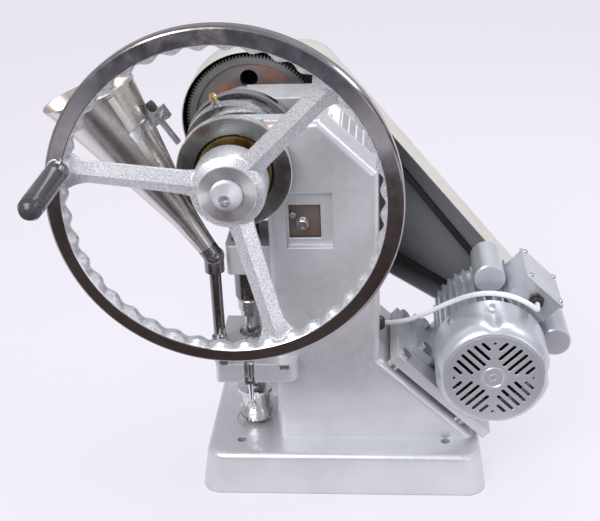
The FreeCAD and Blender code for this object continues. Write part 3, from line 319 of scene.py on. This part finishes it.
def motor_paint():
    look = Look("motor_paint", (0.58, 0.60, 0.64), 0.62, 0.32)
    look.colour(look.ramp(look.noise(9, 4), (0.3, (0.52, 0.54, 0.59)), (0.7, (0.66, 0.68, 0.72))))
    return look.material


def hammertone():
    """Silver hammered paint on the wheel's casting."""
    look = Look("cast_bright", (0.74, 0.74, 0.76), 0.6, 0.36)
    look.soft_edges(1.0 * MM)
    grain = look.noise(820, 3, rough=0.65)
    look.colour(look.ramp(grain, (0.36, (0.30, 0.30, 0.33)), (0.50, (0.62, 0.62, 0.65)),
                          (0.64, (0.84, 0.84, 0.86))))
    look.rough(grain, 0.48, 0.30)
    look.bump(look.noise(60, 2), 0.5 * MM, 0.3)
    look.bump(grain, 0.22 * MM, 0.6)
    return look.material


def turned_metal(name, dark, light, roughness, centre, axis="Y", grain=2200):
    look = Look(name, light, 1.0, roughness)
    marks = look.rings(centre, grain, axis)
    look.colour(look.ramp(marks, (0.25, dark), (0.75, light)))
    look.rough(look.noise(90, 3), roughness - 0.06, roughness + 0.08)
    look.bump(marks, 0.02 * MM, 0.5)
    spin = look.add("Tangent", direction_type="RADIAL", axis=axis)
    look.put(spin.outputs["Tangent"], look.shader.inputs["Tangent"])
    look.set("Anisotropic", 0.7)
    return look.material


def polished_rim():
    """Machined rim face: dark polished steel with soft cloudy patches."""
    look = Look("rim_polish", (0.3, 0.28, 0.28), 1.0, 0.16)
    cloud = look.remap(look.noise(7, 2), 0.35, 0.65)
    look.colour(look.mix(cloud, (0.31, 0.28, 0.28), (0.42, 0.40, 0.42)))
    look.rough(look.noise(60, 3), 0.12, 0.24)
    look.bump(look.rings(SHAFT, 1500), 0.012 * MM, 0.5)
    return look.material


def oily_cam():
    """Feed cam: polished disc with a brown oily step round the collar, and a painted highlight as a
    pale ring at its outer edge.
    """
    look = Look("cam_steel", (0.42, 0.43, 0.41), 1.0, 0.24)
    away = look.radius(SHAFT)
    base = look.ramp(look.remap(away, 0.025, 0.070),
                     (0.0, (0.30, 0.22, 0.15)), (0.22, (0.36, 0.26, 0.14)),
                     (0.41, (0.58, 0.50, 0.24)), (0.46, (0.22, 0.23, 0.21)),
                     (0.80, (0.24, 0.26, 0.25)), (0.93, (0.34, 0.35, 0.34)),
                     # painted highlight: the pale last stop colours the outer edge as a bright glint
                     (0.98, (0.82, 0.82, 0.80)))
    stain = look.remap(look.noise(38, 4), 0.56, 0.76)
    look.colour(look.mix(stain, base, (0.38, 0.20, 0.08)))
    look.rough(look.noise(55, 4), 0.18, 0.36)
    look.bump(look.rings(SHAFT, 1800), 0.02 * MM, 0.6)
    return look.material


def gear_face():
    """Grey painted gear, steel teeth, orange primer left in the web."""
    look = Look("gear_iron", (0.24, 0.24, 0.25), 0.7, 0.42)
    away = look.radius(SHAFT)
    teeth = look.remap(away, 0.0835, 0.0850)
    web = look.remap(away, 0.0765, 0.0750)
    patch = look.remap(look.noise(21, 4), 0.54, 0.64)
    primer = look.mix(patch, (0.22, 0.195, 0.19), (0.40, 0.19, 0.135))
    grey = look.mix(web, (0.20, 0.20, 0.205), primer)
    look.colour(look.mix(teeth, grey, (0.13, 0.12, 0.11)))
    look.rough(look.noise(80, 3), 0.35, 0.55)
    look.bump(look.noise(350, 3), 0.10 * MM, 0.5)
    return look.material


def plain_metal(name, colour, roughness):
    """Milled or ground steel with a faint directional grain."""
    look = Look(name, colour, 1.0, roughness)
    grey = look.noise(300, 3, (1, 1, 0.12))
    low = tuple(0.78 * c for c in colour)
    look.colour(look.ramp(grey, (0.3, low), (0.7, colour)))
    look.rough(look.noise(120, 3), roughness - 0.06, roughness + 0.10)
    look.bump(grey, 0.02 * MM, 0.5)
    look.bump(look.noise(1400, 1), 0.01 * MM, 0.4)
    return look.material


def stainless():
    """Spun stainless sheet: fine marks round the cone, and painted reflections as pale, dark and
    brownish bands down it, set by the place round the cone.
    """
    look = Look("stainless", (0.66, 0.63, 0.60), 0.92, 0.24)
    turn = look.add("VectorRotate", rotation_type="AXIS_ANGLE")
    look.put(look.place(), turn.inputs["Vector"])
    turn.inputs["Center"].default_value = PIPE
    turn.inputs["Axis"].default_value = (0, 1, 0)
    turn.inputs["Angle"].default_value = HOPPER_TILT
    split = look.add("SeparateXYZ")
    look.put(turn.outputs["Vector"], split.inputs["Vector"])
    marks = look.add("TexNoise", noise_dimensions="1D")
    look.put(split.outputs["Z"], marks.inputs["W"])
    marks.inputs["Scale"].default_value = 900
    out = look.add("Math", operation="SUBTRACT")
    look.put(split.outputs["X"], out.inputs[0])
    out.inputs[1].default_value = PIPE.x
    along = look.add("Math", operation="SUBTRACT")
    look.put(split.outputs["Z"], along.inputs[0])
    along.inputs[1].default_value = PIPE.z - 22 * MM
    share = look.add("Math", operation="DIVIDE")
    look.put(out.outputs["Value"], share.inputs[0])
    look.put(along.outputs["Value"], share.inputs[1])
    across = look.remap(share.outputs["Value"], -0.2, 0.2)
    # painted reflections: pale, dark and brownish bands by position round the cone, fixed in the colour
    # whatever the lighting
    painted_reflection_bands = look.ramp(across, (0.0, (0.56, 0.42, 0.36)), (0.13, (0.58, 0.46, 0.41)),
                      (0.19, (0.78, 0.74, 0.73)), (0.40, (0.62, 0.58, 0.60)),
                      (0.53, (0.36, 0.33, 0.34)), (0.60, (0.50, 0.47, 0.47)),
                      (0.64, (0.95, 0.94, 0.92)), (0.72, (0.90, 0.89, 0.87)),
                      (0.76, (0.34, 0.32, 0.30)), (0.84, (0.66, 0.61, 0.55)),
                      (1.0, (0.55, 0.50, 0.45)))
    look.colour(look.mix(look.remap(look.noise(11, 3), 0.3, 0.9), painted_reflection_bands, (0.62, 0.60, 0.59)))
    look.rough(look.noise(40, 3), 0.20, 0.32)
    look.bump(marks.outputs["Fac"], 0.02 * MM, 0.4)
    return look.material


def painted(name, colour, roughness):
    look = Look(name, colour, 0.0, roughness)
    low = tuple(max(c - 0.06, 0.0) for c in colour)
    look.colour(look.ramp(look.noise(18, 4), (0.3, low), (0.7, colour)))
    look.rough(look.noise(90, 3), roughness - 0.05, roughness + 0.08)
    look.bump(look.noise(500, 2), 0.05 * MM, 0.4)
    return look.material


def guard_inside():
    """Inside of the guard with painted shade: near-black by the gear, lighter towards the motor."""
    look = Look("guard_inside", (0.06, 0.055, 0.05), 0.2, 0.55)
    split = look.add("SeparateXYZ")
    look.put(look.place(), split.inputs["Vector"])
    along = look.remap(split.outputs["X"], -0.02, 0.16)
    # painted shade: colour runs from near-black by the gear to light grey by the motor
    look.colour(look.ramp(along, (0.0, (0.035, 0.032, 0.030)), (0.5, (0.16, 0.155, 0.16)),
                          (1.0, (0.40, 0.40, 0.43))))
    look.rough(look.noise(60, 4), 0.42, 0.65)
    look.bump(look.noise(240, 3), 0.08 * MM, 0.5)
    return look.material


def plastic(name, colour, roughness, fine=900):
    look = Look(name, colour, 0.0, roughness)
    look.rough(look.noise(70, 3), roughness - 0.05, roughness + 0.08)
    look.colour(look.ramp(look.noise(25, 3), (0.3, tuple(0.82 * c for c in colour)), (0.7, colour)))
    look.bump(look.noise(fine, 2), 0.03 * MM, 0.5)
    return look.material


def name_plate_look():
    """Blank plate: a pale panel beside a grid of empty grey cells."""
    look = Look("plate_metal", (0.80, 0.81, 0.83), 0.0, 0.55)
    fall = math.atan2(66, 68)
    turn = look.add("VectorRotate", rotation_type="AXIS_ANGLE")
    look.put(look.place(), turn.inputs["Vector"])
    turn.inputs["Center"].default_value = (15 * MM, 4 * MM, 464 * MM)
    turn.inputs["Axis"].default_value = (0, 1, 0)
    turn.inputs["Angle"].default_value = -fall
    bricks = look.add("TexBrick", offset=0.0)
    look.put(turn.outputs["Vector"], bricks.inputs["Vector"])
    bricks.inputs["Scale"].default_value = 1.0
    bricks.inputs["Brick Width"].default_value = 12 * MM
    bricks.inputs["Row Height"].default_value = 8 * MM
    bricks.inputs["Mortar Size"].default_value = 1.3 * MM
    bricks.inputs["Color1"].default_value = (0.10, 0.105, 0.12, 1)
    bricks.inputs["Color2"].default_value = (0.20, 0.205, 0.22, 1)
    bricks.inputs["Mortar"].default_value = (0.72, 0.72, 0.75, 1)
    split = look.add("SeparateXYZ")
    look.put(look.place(), split.inputs["Vector"])
    side = look.remap(split.outputs["X"], 2 * MM, 3 * MM)
    look.colour(look.mix(side, (0.80, 0.81, 0.83), bricks.outputs["Color"]))
    look.rough(look.noise(200, 2), 0.48, 0.62)
    look.bump(bricks.outputs["Fac"], 0.1 * MM, 0.4)
    return look.material


def make_looks():
    turned = ((0.34, 0.34, 0.35), (0.62, 0.62, 0.63))
    looks = {
        "frame_paint": frame_paint(),
        "motor_paint": motor_paint(),
        "cast_bright": hammertone(),
        "guard_paint": painted("guard_paint", (0.58, 0.56, 0.51), 0.42),
        "steel": plain_metal("steel", (0.62, 0.62, 0.63), 0.26),
        "dark_steel": plain_metal("dark_steel", (0.27, 0.26, 0.27), 0.22),
        "chrome": plain_metal("chrome", (0.80, 0.80, 0.81), 0.12),
        "stainless": stainless(),
        "brass": plain_metal("brass", (0.80, 0.60, 0.30), 0.24),
        "bronze": plain_metal("bronze", (0.58, 0.40, 0.22), 0.34),
        "gear_iron": gear_face(),
        "black_plastic": plastic("black_plastic", (0.03, 0.03, 0.033), 0.32),
        "grip_plastic": plastic("grip_plastic", (0.045, 0.047, 0.052), 0.24, 260),
        "belt_rubber": plastic("belt_rubber", (0.022, 0.022, 0.023), 0.62, 1500),
        "cable_sheath": plastic("cable_sheath", (0.84, 0.84, 0.85), 0.38),
        "plate_metal": name_plate_look(),
        "guard_inside": guard_inside(),
        "rim_polish": polished_rim(),
        "cam_steel": oily_cam(),
        "window_iron": painted("window_iron", (0.16, 0.12, 0.10), 0.45),
        "hub_face": turned_metal("hub_face", (0.66, 0.66, 0.70), (0.94, 0.94, 0.97), 0.44, SHAFT),
        "shaft_steel": turned_metal("shaft_steel", *turned, 0.22, SHAFT),
    }
    return looks


# ---------------------------------------------------------------- mesh helpers

def mesh_piece(name, points, faces):
    mesh = bpy.data.meshes.new(name)
    mesh.from_pydata([tuple(p) for p in points], [], faces)
    mesh.validate()
    mesh.update()
    piece = bpy.data.objects.new(name, mesh)
    bpy.context.scene.collection.objects.link(piece)
    return piece


def smooth_by_angle(piece, degrees=35):
    """Smooth shading that keeps edges sharper than the angle crisp."""
    mesh = piece.data
    work = bmesh.new()
    work.from_mesh(mesh)
    bmesh.ops.recalc_face_normals(work, faces=work.faces)
    limit = math.radians(degrees)
    for edge in work.edges:
        edge.smooth = len(edge.link_faces) == 2 and edge.calc_face_angle(0) < limit
    for face in work.faces:
        face.smooth = True
    work.to_mesh(mesh)
    work.free()


def ring_mesh(rows, closed_rows):
    """Points and quads of rows of points round a closed loop."""
    count = len(rows[0])
    points = [p for row in rows for p in row]
    faces = []
    last = len(rows) if closed_rows else len(rows) - 1
    for row in range(last):
        here = row * count
        there = ((row + 1) % len(rows)) * count
        for i in range(count):
            after = (i + 1) % count
            faces.append((here + i, here + after, there + after, there + i))
    return points, faces


def lathe(name, profile, place, segments=96, closed=True):
    """Turns (radius, distance) points in mm about the local Z of place."""
    rows = []
    for radius, along in profile:
        row = []
        for step in range(segments):
            angle = 2 * math.pi * step / segments
            spot = Vector((radius * math.cos(angle), radius * math.sin(angle), along)) * MM
            row.append(place @ spot)
        rows.append(row)
    points, faces = ring_mesh(rows, closed)
    piece = mesh_piece(name, points, faces)
    smooth_by_angle(piece)
    return piece


def paint_faces(piece, chosen, index):
    """Gives faces whose number passes chosen another of the piece's materials."""
    for face in piece.data.polygons:
        if chosen(face):
            face.material_index = index


def join(first, *others):
    """Joins pieces into the first; their materials are already in place."""
    with bpy.context.temp_override(active_object=first, object=first,
                                   selected_editable_objects=[first, *others],
                                   selected_objects=[first, *others]):
        bpy.ops.object.join()
    return first


def finish_piece(piece, body, slot_name, *replaced):
    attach(piece, body)
    if replaced:
        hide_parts(*replaced)
    return piece


# ---------------------------------------------------------------- cable

def cable(looks):
    curve = bpy.data.curves.new("cable", "CURVE")
    curve.dimensions = "3D"
    line = curve.splines.new("NURBS")
    line.points.add(len(CABLE) - 1)
    for point, spot in zip(line.points, CABLE):
        point.co = (*(Vector(spot) * MM), 1)
    line.order_u = 3
    line.use_endpoint_u = True
    line.resolution_u = 12
    curve.bevel_depth = CABLE_DIAMETER / 2
    curve.bevel_resolution = 6
    curve.use_fill_caps = True
    piece = bpy.data.objects.new("cable", curve)
    bpy.context.scene.collection.objects.link(piece)
    curve.materials.append(looks["cable_sheath"])
    finish_piece(piece, "frame", "cable_sheath", "motor_cable")


# ---------------------------------------------------------------- hand wheel

WAVES = 40
RIM = [  # radius, distance behind the rim's front edge, share of the scallop
    (180.8, 0.6, 0.0), (181.6, 0.0, 0.0), (196.8, 3.5, 0.0), (198.4, 4.6, 0.0),
    (200.0, 7.0, 0.0), (200.0, 19.0, 0.0), (199.0, 21.2, 0.0), (196.6, 22.0, 0.0),
    (184.0, 22.0, 0.2), (178.6, 19.0, 0.8), (175.8, 12.0, 1.0), (176.6, 6.0, 1.0),
    (179.4, 1.8, 0.3)]
SCALLOP = 2.6


def wheel_rim():
    rows = []
    segments = WAVES * 12
    front = WHEEL_FRONT / MM
    for radius, back, share in RIM:
        row = []
        for step in range(segments):
            angle = 2 * math.pi * step / segments
            reach = radius + SCALLOP * share * math.cos(WAVES * angle)
            row.append(SHAFT + Vector((reach * math.cos(angle), front + back,
                                       reach * math.sin(angle))) * MM)
        rows.append(row)
    points, faces = ring_mesh(rows, True)
    rim = mesh_piece("rim", points, faces)
    polished_rows = 6
    paint_faces(rim, lambda face: face.index < polished_rows * segments, 1)
    smooth_by_angle(rim, 14)
    return rim


def spoke(angle):
    """Cast arm with a ridge down its middle, sloping back to the hub and flared at the rim."""
    out = Vector((math.cos(angle), 0, math.sin(angle)))
    side = Vector((-math.sin(angle), 0, math.cos(angle)))
    ahead = Vector((0, -1, 0))
    rows = []
    steps = 36
    start, end = 26.0, 180.0
    for step in range(steps + 1):
        share = step / steps
        radius = start + (end - start) * share
        flare = max(0.0, (radius - 150) / 30)
        root = max(0.0, (58 - radius) / 32)
        half = 14.5 - 2.0 * share + 15 * flare ** 2.4 + 7 * root ** 2
        ridge = 9.0 * (1 - 0.65 * flare) - 2 * root
        crest = 147 + 37 * share
        base = crest - ridge
        low = base - 6
        section = [(-half, low + 1.5), (-half, base - 1.0), (-half + 0.8, base),
                   (-0.6, crest - 0.25), (0, crest), (0.6, crest - 0.25), (half - 0.8, base),
                   (half, base - 1.0), (half, low + 1.5), (half - 2, low), (-half + 2, low)]
        rows.append([SHAFT + (out * radius + side * across + ahead * up) * MM
                     for across, up in section])
    points, faces = ring_mesh(rows, False)
    count = len(rows[0])
    faces.append(tuple(range(count)))
    faces.append(tuple(reversed(range(len(points) - count, len(points)))))
    arm = mesh_piece("spoke", points, faces)
    smooth_by_angle(arm, 12)
    return arm


def hand_wheel(looks):
    hub = lathe("hub", [(12.6, 154), (33.2, 154), (34, 153.2), (34, 151.8), (36, 150.6), (40, 149.6),
                        (43, 147.2), (44, 143.5), (44, 110), (42, 106), (12.6, 106)], ABOUT_SHAFT, 128)
    paint_faces(hub, lambda face: face.index < 3 * 128, 2)
    spot = Vector((184 * math.cos(GRIP_ANGLE), 0, 184 * math.sin(GRIP_ANGLE))) * MM
    boss = lathe("boss", [(5.2, 189), (12.6, 189), (14, 187.4), (14, 170), (12.6, 168.8), (5.2, 168.8)],
                 Matrix.Translation(spot) @ ABOUT_SHAFT, 48)
    wheel = wheel_rim()
    wheel.name = "hand_wheel"
    for part in (wheel, hub, boss):
        for name in ("cast_bright", "rim_polish", "hub_face"):
            part.data.materials.append(looks[name])
    arms = [spoke(angle) for angle in SPOKE_ANGLES]
    for arm in arms:
        arm.data.materials.append(looks["cast_bright"])
    join(wheel, hub, boss, *arms)
    finish_piece(wheel, "main_shaft", "cast_bright", "handwheel")


# ---------------------------------------------------------------- hopper

CONE_START = 4.4
CONE_SLOPE = 0.198
CONE_FOOT = 62


def cone_radius(along):
    return CONE_START + CONE_SLOPE * along


def hopper(looks):
    """Cone with a mouth cut nearer level than its axis asks, a rolled lip and a lapped seam."""
    segments = 144
    level = math.tan(MOUTH_SLOPE)

    def row(inset, stretch):
        """Points round the cone; stretch 1 reaches the sloping mouth."""
        spots = []
        for step in range(segments):
            angle = 2 * math.pi * step / segments
            tilt = CONE_SLOPE * level * math.cos(angle)
            radius = cone_radius(HOPPER_LENGTH) / (1 + tilt)
            top = HOPPER_LENGTH - level * radius * math.cos(angle)
            along = CONE_FOOT + (top - CONE_FOOT) * stretch
            reach = cone_radius(along) - inset
            spots.append(ABOUT_HOPPER @ (Vector((reach * math.cos(angle), reach * math.sin(angle),
                                                 along)) * MM))
        return spots

    def plain(radius, along):
        return [ABOUT_HOPPER @ (Vector((radius * math.cos(2 * math.pi * step / segments),
                                        radius * math.sin(2 * math.pi * step / segments),
                                        along)) * MM) for step in range(segments)]
    rows = [plain(12.5, 16), plain(14.5, 40), row(0, 0), row(0, 0.5), row(0, 0.955),
            row(-1.0, 0.965), row(-1.4, 0.98), row(-0.8, 0.993), row(0.4, 0.996),
            row(1.4, 0.99), row(1.5, 0.5), row(1.5, 0.001), plain(13, 40.2), plain(11, 16)]
    points, faces = ring_mesh(rows, True)
    shell = mesh_piece("hopper_shell", points, faces)
    smooth_by_angle(shell)
    seam_angle = math.radians(-52)
    seam = []
    for along in [70 + 12 * step for step in range(15)]:
        reach = cone_radius(along)
        for lift, turn in ((-0.3, -4.5), (0.7, -4.2), (0.7, 4.2), (-0.3, 4.5)):
            angle = seam_angle + turn / reach
            seam.append(ABOUT_HOPPER @ (Vector(((reach + lift) * math.cos(angle),
                                                (reach + lift) * math.sin(angle), along)) * MM))
    strips = [(4 * step + i, 4 * step + i + 1, 4 * step + i + 5, 4 * step + i + 4)
              for step in range(14) for i in range(3)]
    lap = mesh_piece("seam", seam, strips)
    smooth_by_angle(lap)
    for part in (shell, lap):
        part.data.materials.append(looks["stainless"])
    join(shell, lap)
    finish_piece(shell, "feeder", "stainless", "hopper")


# ---------------------------------------------------------------- belt guard

GUARD_RADIUS = 94.5
GUARD_END_RADIUS = 36


def arc(centre, radius, first, last, steps):
    """Points on an arc in XZ, angles in radians from +X towards +Z."""
    turn = [first + (last - first) * i / steps for i in range(steps + 1)]
    return [Vector((centre[0] + radius * math.cos(t), 0, centre[1] + radius * math.sin(t)))
            for t in turn]


def guard_edge(inset):
    """The guard's outline in mm: round the gear, flat on top, sloping to the motor."""
    gear = (SHAFT.x / MM, SHAFT.z / MM)
    motor = (MOTOR.x / MM, MOTOR.z / MM)
    radius = GUARD_RADIUS - inset
    slope = math.radians(50.7)
    down = Vector((math.cos(slope), 0, -math.sin(slope)))
    out = Vector((math.sin(slope), 0, math.cos(slope)))
    reach = math.hypot(motor[0] - gear[0], motor[1] - gear[1])
    line = math.atan2(motor[1] - gear[1], motor[0] - gear[0])
    low = line - math.acos((GUARD_RADIUS - GUARD_END_RADIUS) / reach)
    under = Vector((math.cos(low), 0, math.sin(low)))
    along = Vector((-under.z, 0, under.x))
    middle = Vector((motor[0], 0, motor[1]))
    end_top = middle + out * (60 - inset) + down * (48 - inset)
    end_low = middle + under * (GUARD_END_RADIUS - inset) + along * (48 - inset)
    peak_z = gear[1] + radius
    peak = end_top - down * ((peak_z - end_top.z) / math.sin(slope))
    corner = 46.0 - inset
    trim = corner * math.tan(slope / 2)
    bend = (peak.x - trim, peak_z - corner)
    around = arc(gear, radius, low + 2 * math.pi, math.pi / 2, 64)
    over = arc(bend, corner, math.pi / 2, math.pi / 2 - slope, 12)
    return around + over + [end_top, end_low]


def belt_guard(looks):
    front, back = GUARD_LOW.y, GUARD_HIGH.y
    wall = 1.6
    outer, inner = guard_edge(0), guard_edge(wall)

    def row(edge, y):
        return [Vector((p.x * MM, y, p.z * MM)) for p in edge]
    bend = 1.2 * MM
    rows = [row(guard_edge(6), back), row(guard_edge(0.5), back), row(outer, back - bend),
            row(outer, front + 0.5 * MM), row(guard_edge(0.4), front), row(guard_edge(1.2), front),
            row(inner, front + 0.5 * MM), row(inner, back - 1.8 * MM),
            row(guard_edge(6), back - 1.8 * MM)]
    points, faces = ring_mesh(rows, False)
    count = len(outer)
    faces.append(tuple(range(count)))
    faces.append(tuple(reversed(range(8 * count, 9 * count))))
    guard = mesh_piece("guard_tray", points, faces)
    guard.data.materials.append(looks["guard_paint"])
    guard.data.materials.append(looks["guard_inside"])
    inside_first = 6 * count
    total = 8 * count
    paint_faces(guard, lambda face: inside_first <= face.index < total or face.index == total + 1, 1)
    smooth_by_angle(guard, 30)
    finish_piece(guard, "frame", "guard_paint", "belt_guard")


# ---------------------------------------------------------------- fan cowl

def stadium(centre, direction, length, width, steps=8):
    """Outline of a round-ended slot in the plane."""
    turn = math.atan2(direction[1], direction[0])
    reach = length / 2 - width / 2
    points = []
    for end, first in ((1, -90), (-1, 90)):
        for step in range(steps + 1):
            angle = math.radians(first + 180 * step / steps)
            across = end * reach + width / 2 * math.cos(angle)
            up = width / 2 * math.sin(angle)
            points.append((centre[0] + across * math.cos(turn) - up * math.sin(turn),
                           centre[1] + across * math.sin(turn) + up * math.cos(turn)))
    return points


def grille_slots():
    """Four groups of slots, each parallel to its diagonal, and four small holes."""
    slots = []
    for quarter in range(4):
        angle = math.radians(45 + 90 * quarter)
        along = Vector((math.cos(angle), math.sin(angle)))
        across = Vector((-math.sin(angle), math.cos(angle)))
        for lane in range(6):
            offset = (lane - 2.5) * 9.6
            first = max(19.5, abs(offset) + 7.5)
            last = math.sqrt(52.5 ** 2 - offset ** 2)
            middle = along * (first + last) / 2 + across * offset
            slots.append(stadium(middle, along, last - first, 4.6))
        hole = math.radians(90 * quarter)
        slots.append(stadium((49 * math.cos(hole), 49 * math.sin(hole)),
                             (-math.sin(hole), math.cos(hole)), 4.4, 3.4))
    return slots


def grille_plate():
    """Flat perforated disc of the cowl, as a filled outline with holes."""
    curve = bpy.data.curves.new("grille", "CURVE")
    curve.dimensions = "2D"
    curve.fill_mode = "BOTH"
    curve.extrude = 0.3 * MM
    curve.bevel_depth = 0.6 * MM
    curve.bevel_resolution = 2
    curve.offset = -0.5 * MM
    circle = [(60 * math.cos(math.radians(a)), 60 * math.sin(math.radians(a)))
              for a in range(0, 360, 3)]
    for outline in [circle, *grille_slots()]:
        line = curve.splines.new("POLY")
        line.points.add(len(outline) - 1)
        line.use_cyclic_u = True
        for point, spot in zip(line.points, outline):
            point.co = (spot[0] * MM, spot[1] * MM, 0, 1)
    holder = bpy.data.objects.new("grille", curve)
    mesh = bpy.data.meshes.new_from_object(holder)
    bpy.data.objects.remove(holder)
    lay = Matrix.Translation(Vector((0, -108.8 * MM, 0))) @ Matrix.Rotation(math.radians(90), 4, "X")
    mesh.transform(ABOUT_MOTOR @ Matrix.Rotation(-MOTOR_TILT, 4, "Y") @ lay)
    piece = bpy.data.objects.new("grille", mesh)
    bpy.context.scene.collection.objects.link(piece)
    smooth_by_angle(piece)
    return piece


def fan_cowl(looks):
    """Pressed cowl: domed edge, four flutes along its side, perforated face."""
    profile = [(72.5, -40), (72.5, -54), (72.5, -82), (72.3, -92), (71.0, -99), (68.2, -104.5),
               (64.6, -108.4), (62.4, -109.8), (60.6, -110), (59.6, -109.4), (58.8, -108.6)]
    segments = 240
    rows = []
    for radius, y in profile:
        row = []
        depth = 6.0 * min(1.0, max(0.0, (-40 - y) / 14)) * min(1.0, max(0.0, (y + 110) / 14))
        for step in range(segments):
            angle = 2 * math.pi * step / segments
            nearest = (math.degrees(angle) + 45) % 90 - 45
            flute = depth * math.exp(-(nearest / 7.0) ** 2)
            reach = radius - flute
            row.append(MOTOR + Vector((reach * math.cos(angle), y, reach * math.sin(angle))) * MM)
        rows.append(row)
    points, faces = ring_mesh(rows, False)
    cowl = mesh_piece("cowl", points, faces)
    smooth_by_angle(cowl, 50)
    skin = cowl.modifiers.new("sheet", "SOLIDIFY")
    skin.thickness = 1.4 * MM
    skin.offset = -1
    boss = lathe("boss", [(0.01, 109.2), (2.6, 109.2), (3.2, 110.9), (5.4, 110.9), (6.4, 109.4),
                          (8.6, 109.2), (11.6, 109.6), (13.0, 110.9), (14.6, 110.9),
                          (15.8, 109.6), (16.6, 108.6), (0.01, 107.8)],
                 Matrix.Translation(MOTOR) @ Matrix.Rotation(math.radians(90), 4, "X"), 64)
    plate = grille_plate()
    for part in (cowl, plate, boss):
        part.data.materials.append(looks["motor_paint"])
    with bpy.context.temp_override(object=cowl, active_object=cowl):
        bpy.ops.object.modifier_apply(modifier="sheet")
    join(cowl, plate, boss)
    finish_piece(cowl, "frame", "motor_paint", "fan_cowl")


# ---------------------------------------------------------------- small pieces

def coil_spring(looks):
    low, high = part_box("hold_down_spring")
    middle = (low + high) / 2
    turns = 5
    steps = 16 * turns
    curve = bpy.data.curves.new("coil", "CURVE")
    curve.dimensions = "3D"
    curve.bevel_depth = 0.8 * MM
    curve.use_fill_caps = True
    line = curve.splines.new("POLY")
    line.points.add(steps)
    reach = (high.x - low.x) / 2 - curve.bevel_depth
    rise = high.z - low.z - 2 * curve.bevel_depth
    for step, point in enumerate(line.points):
        angle = 2 * math.pi * turns * step / steps
        point.co = (middle.x + reach * math.cos(angle), middle.y + reach * math.sin(angle),
                    low.z + curve.bevel_depth + rise * step / steps, 1)
    holder = bpy.data.objects.new("coil", curve)
    mesh = bpy.data.meshes.new_from_object(holder)
    bpy.data.objects.remove(holder)
    mesh.shade_smooth()
    piece = bpy.data.objects.new("coil_spring", mesh)
    bpy.context.scene.collection.objects.link(piece)
    mesh.materials.append(looks["steel"])
    finish_piece(piece, "frame", "steel", "hold_down_spring")


def screw_head(name, place, radius, body, looks, slot_name="steel"):
    """Domed screw head with a small recess, standing on the local XY plane."""
    profile = [(0.01, 0), (radius, 0), (radius, 0.35 * radius), (0.86 * radius, 0.62 * radius),
               (0.5 * radius, 0.78 * radius), (0.22 * radius, 0.80 * radius),
               (0.20 * radius, 0.40 * radius), (0.01, 0.40 * radius)]
    head = lathe(name, profile, place, 32)
    head.data.materials.append(looks[slot_name])
    return finish_piece(head, body, slot_name)


def lid_screws(looks):
    for index, (x, y) in enumerate((x, y) for x in (-32, 22) for y in (-22, 48)):
        place = ABOUT_MOTOR @ Matrix.Translation(Vector((x, y, 107)) * MM)
        screw_head("lid_screw_%d" % (index + 1), place, 3.2, "frame", looks)


def hex_nut(name, place, across, height, body, looks):
    """Chamfered hexagon nut on a washer, standing on the local XY plane."""
    washer = lathe(name + "_washer", [(0.01, 0), (0.72 * across, 0), (0.74 * across, 0.3),
                                      (0.74 * across, 1.2), (0.72 * across, 1.5), (0.01, 1.5)],
                   place, 40)
    profile = [(0.01, 1.5), (0.50, 1.5), (0.577, 2.1), (0.577, height - 0.6), (0.50, height),
               (0.30, height), (0.29, height - 0.8), (0.01, height - 0.8)]
    rows = []
    for radius, up in profile:
        reach = radius if radius < 0.1 else radius * across
        rows.append([place @ (Vector((reach * math.cos(math.pi * i / 3),
                                      reach * math.sin(math.pi * i / 3), up)) * MM)
                     for i in range(6)])
    points, faces = ring_mesh(rows, True)
    nut = mesh_piece(name, points, faces)
    smooth_by_angle(nut, 20)
    for part in (nut, washer):
        part.data.materials.append(looks["steel"])
    join(nut, washer)
    return finish_piece(nut, body, "steel")


def window_bracket(looks):
    """Dark plate with a nut and a screw, seen through the column's window."""
    face = -57.4
    corners = [(-68, face, 336), (-22, face, 336), (-22, face, 394), (-68, face, 394)]
    front = [Vector(c) * MM for c in corners]
    back = [c + Vector((0, 2 * MM, 0)) for c in front]
    sides = [(i, (i + 1) % 4, (i + 1) % 4 + 4, i + 4) for i in range(4)]
    plate = mesh_piece("window_bracket", front + back, [(3, 2, 1, 0), (4, 5, 6, 7), *sides])
    plate.data.materials.append(looks["window_iron"])
    finish_piece(plate, "frame", "dark_steel")
    turn = Matrix.Rotation(math.radians(90), 4, "X")
    nut_at = Matrix.Translation(Vector((-43.4, face, 362.6)) * MM) @ turn
    hex_nut("bracket_nut", nut_at, 12, 8, "frame", looks)
    screw_at = Matrix.Translation(Vector((-55.5, face, 374)) * MM) @ turn
    screw_head("bracket_screw", screw_at, 4.6, "frame", looks)


# ---------------------------------------------------------------- assembly

def dress_cad_nodes(looks):
    """Gives every CAD node the material of its slot, or its own."""
    own = {"feed_cam": "cam_steel", "wheel_cap": "hub_face", "lift_cam": "shaft_steel",
           "shaft_collar": "cam_steel", "eccentric_sheave": "shaft_steel",
           "ram": "dark_steel", "feed_pipe": "dark_steel", "feed_elbow": "dark_steel",
           "handle_spindle": "dark_steel", "feed_rod": "steel", "punch_holder": "steel",
           "strap_rod": "steel", "upper_punch": "steel"}
    for part in frame["record"]["subparts"]:
        node = NODES[part["node"]]
        look = looks[own.get(part["node"], part["material_slot"])]
        node.data.materials.clear()
        node.data.materials.append(look)


set_camera(Vector((0.0624, -1.3048, 0.9134)), 5.1, 25.68, -2.44, 66.8)
LOOKS = make_looks()
cable(LOOKS)
studio()
dress_cad_nodes(LOOKS)
hand_wheel(LOOKS)
hopper(LOOKS)
belt_guard(LOOKS)
fan_cowl(LOOKS)
coil_spring(LOOKS)
lid_screws(LOOKS)
window_bracket(LOOKS)
bpy.context.scene.view_settings.view_transform = "Standard"
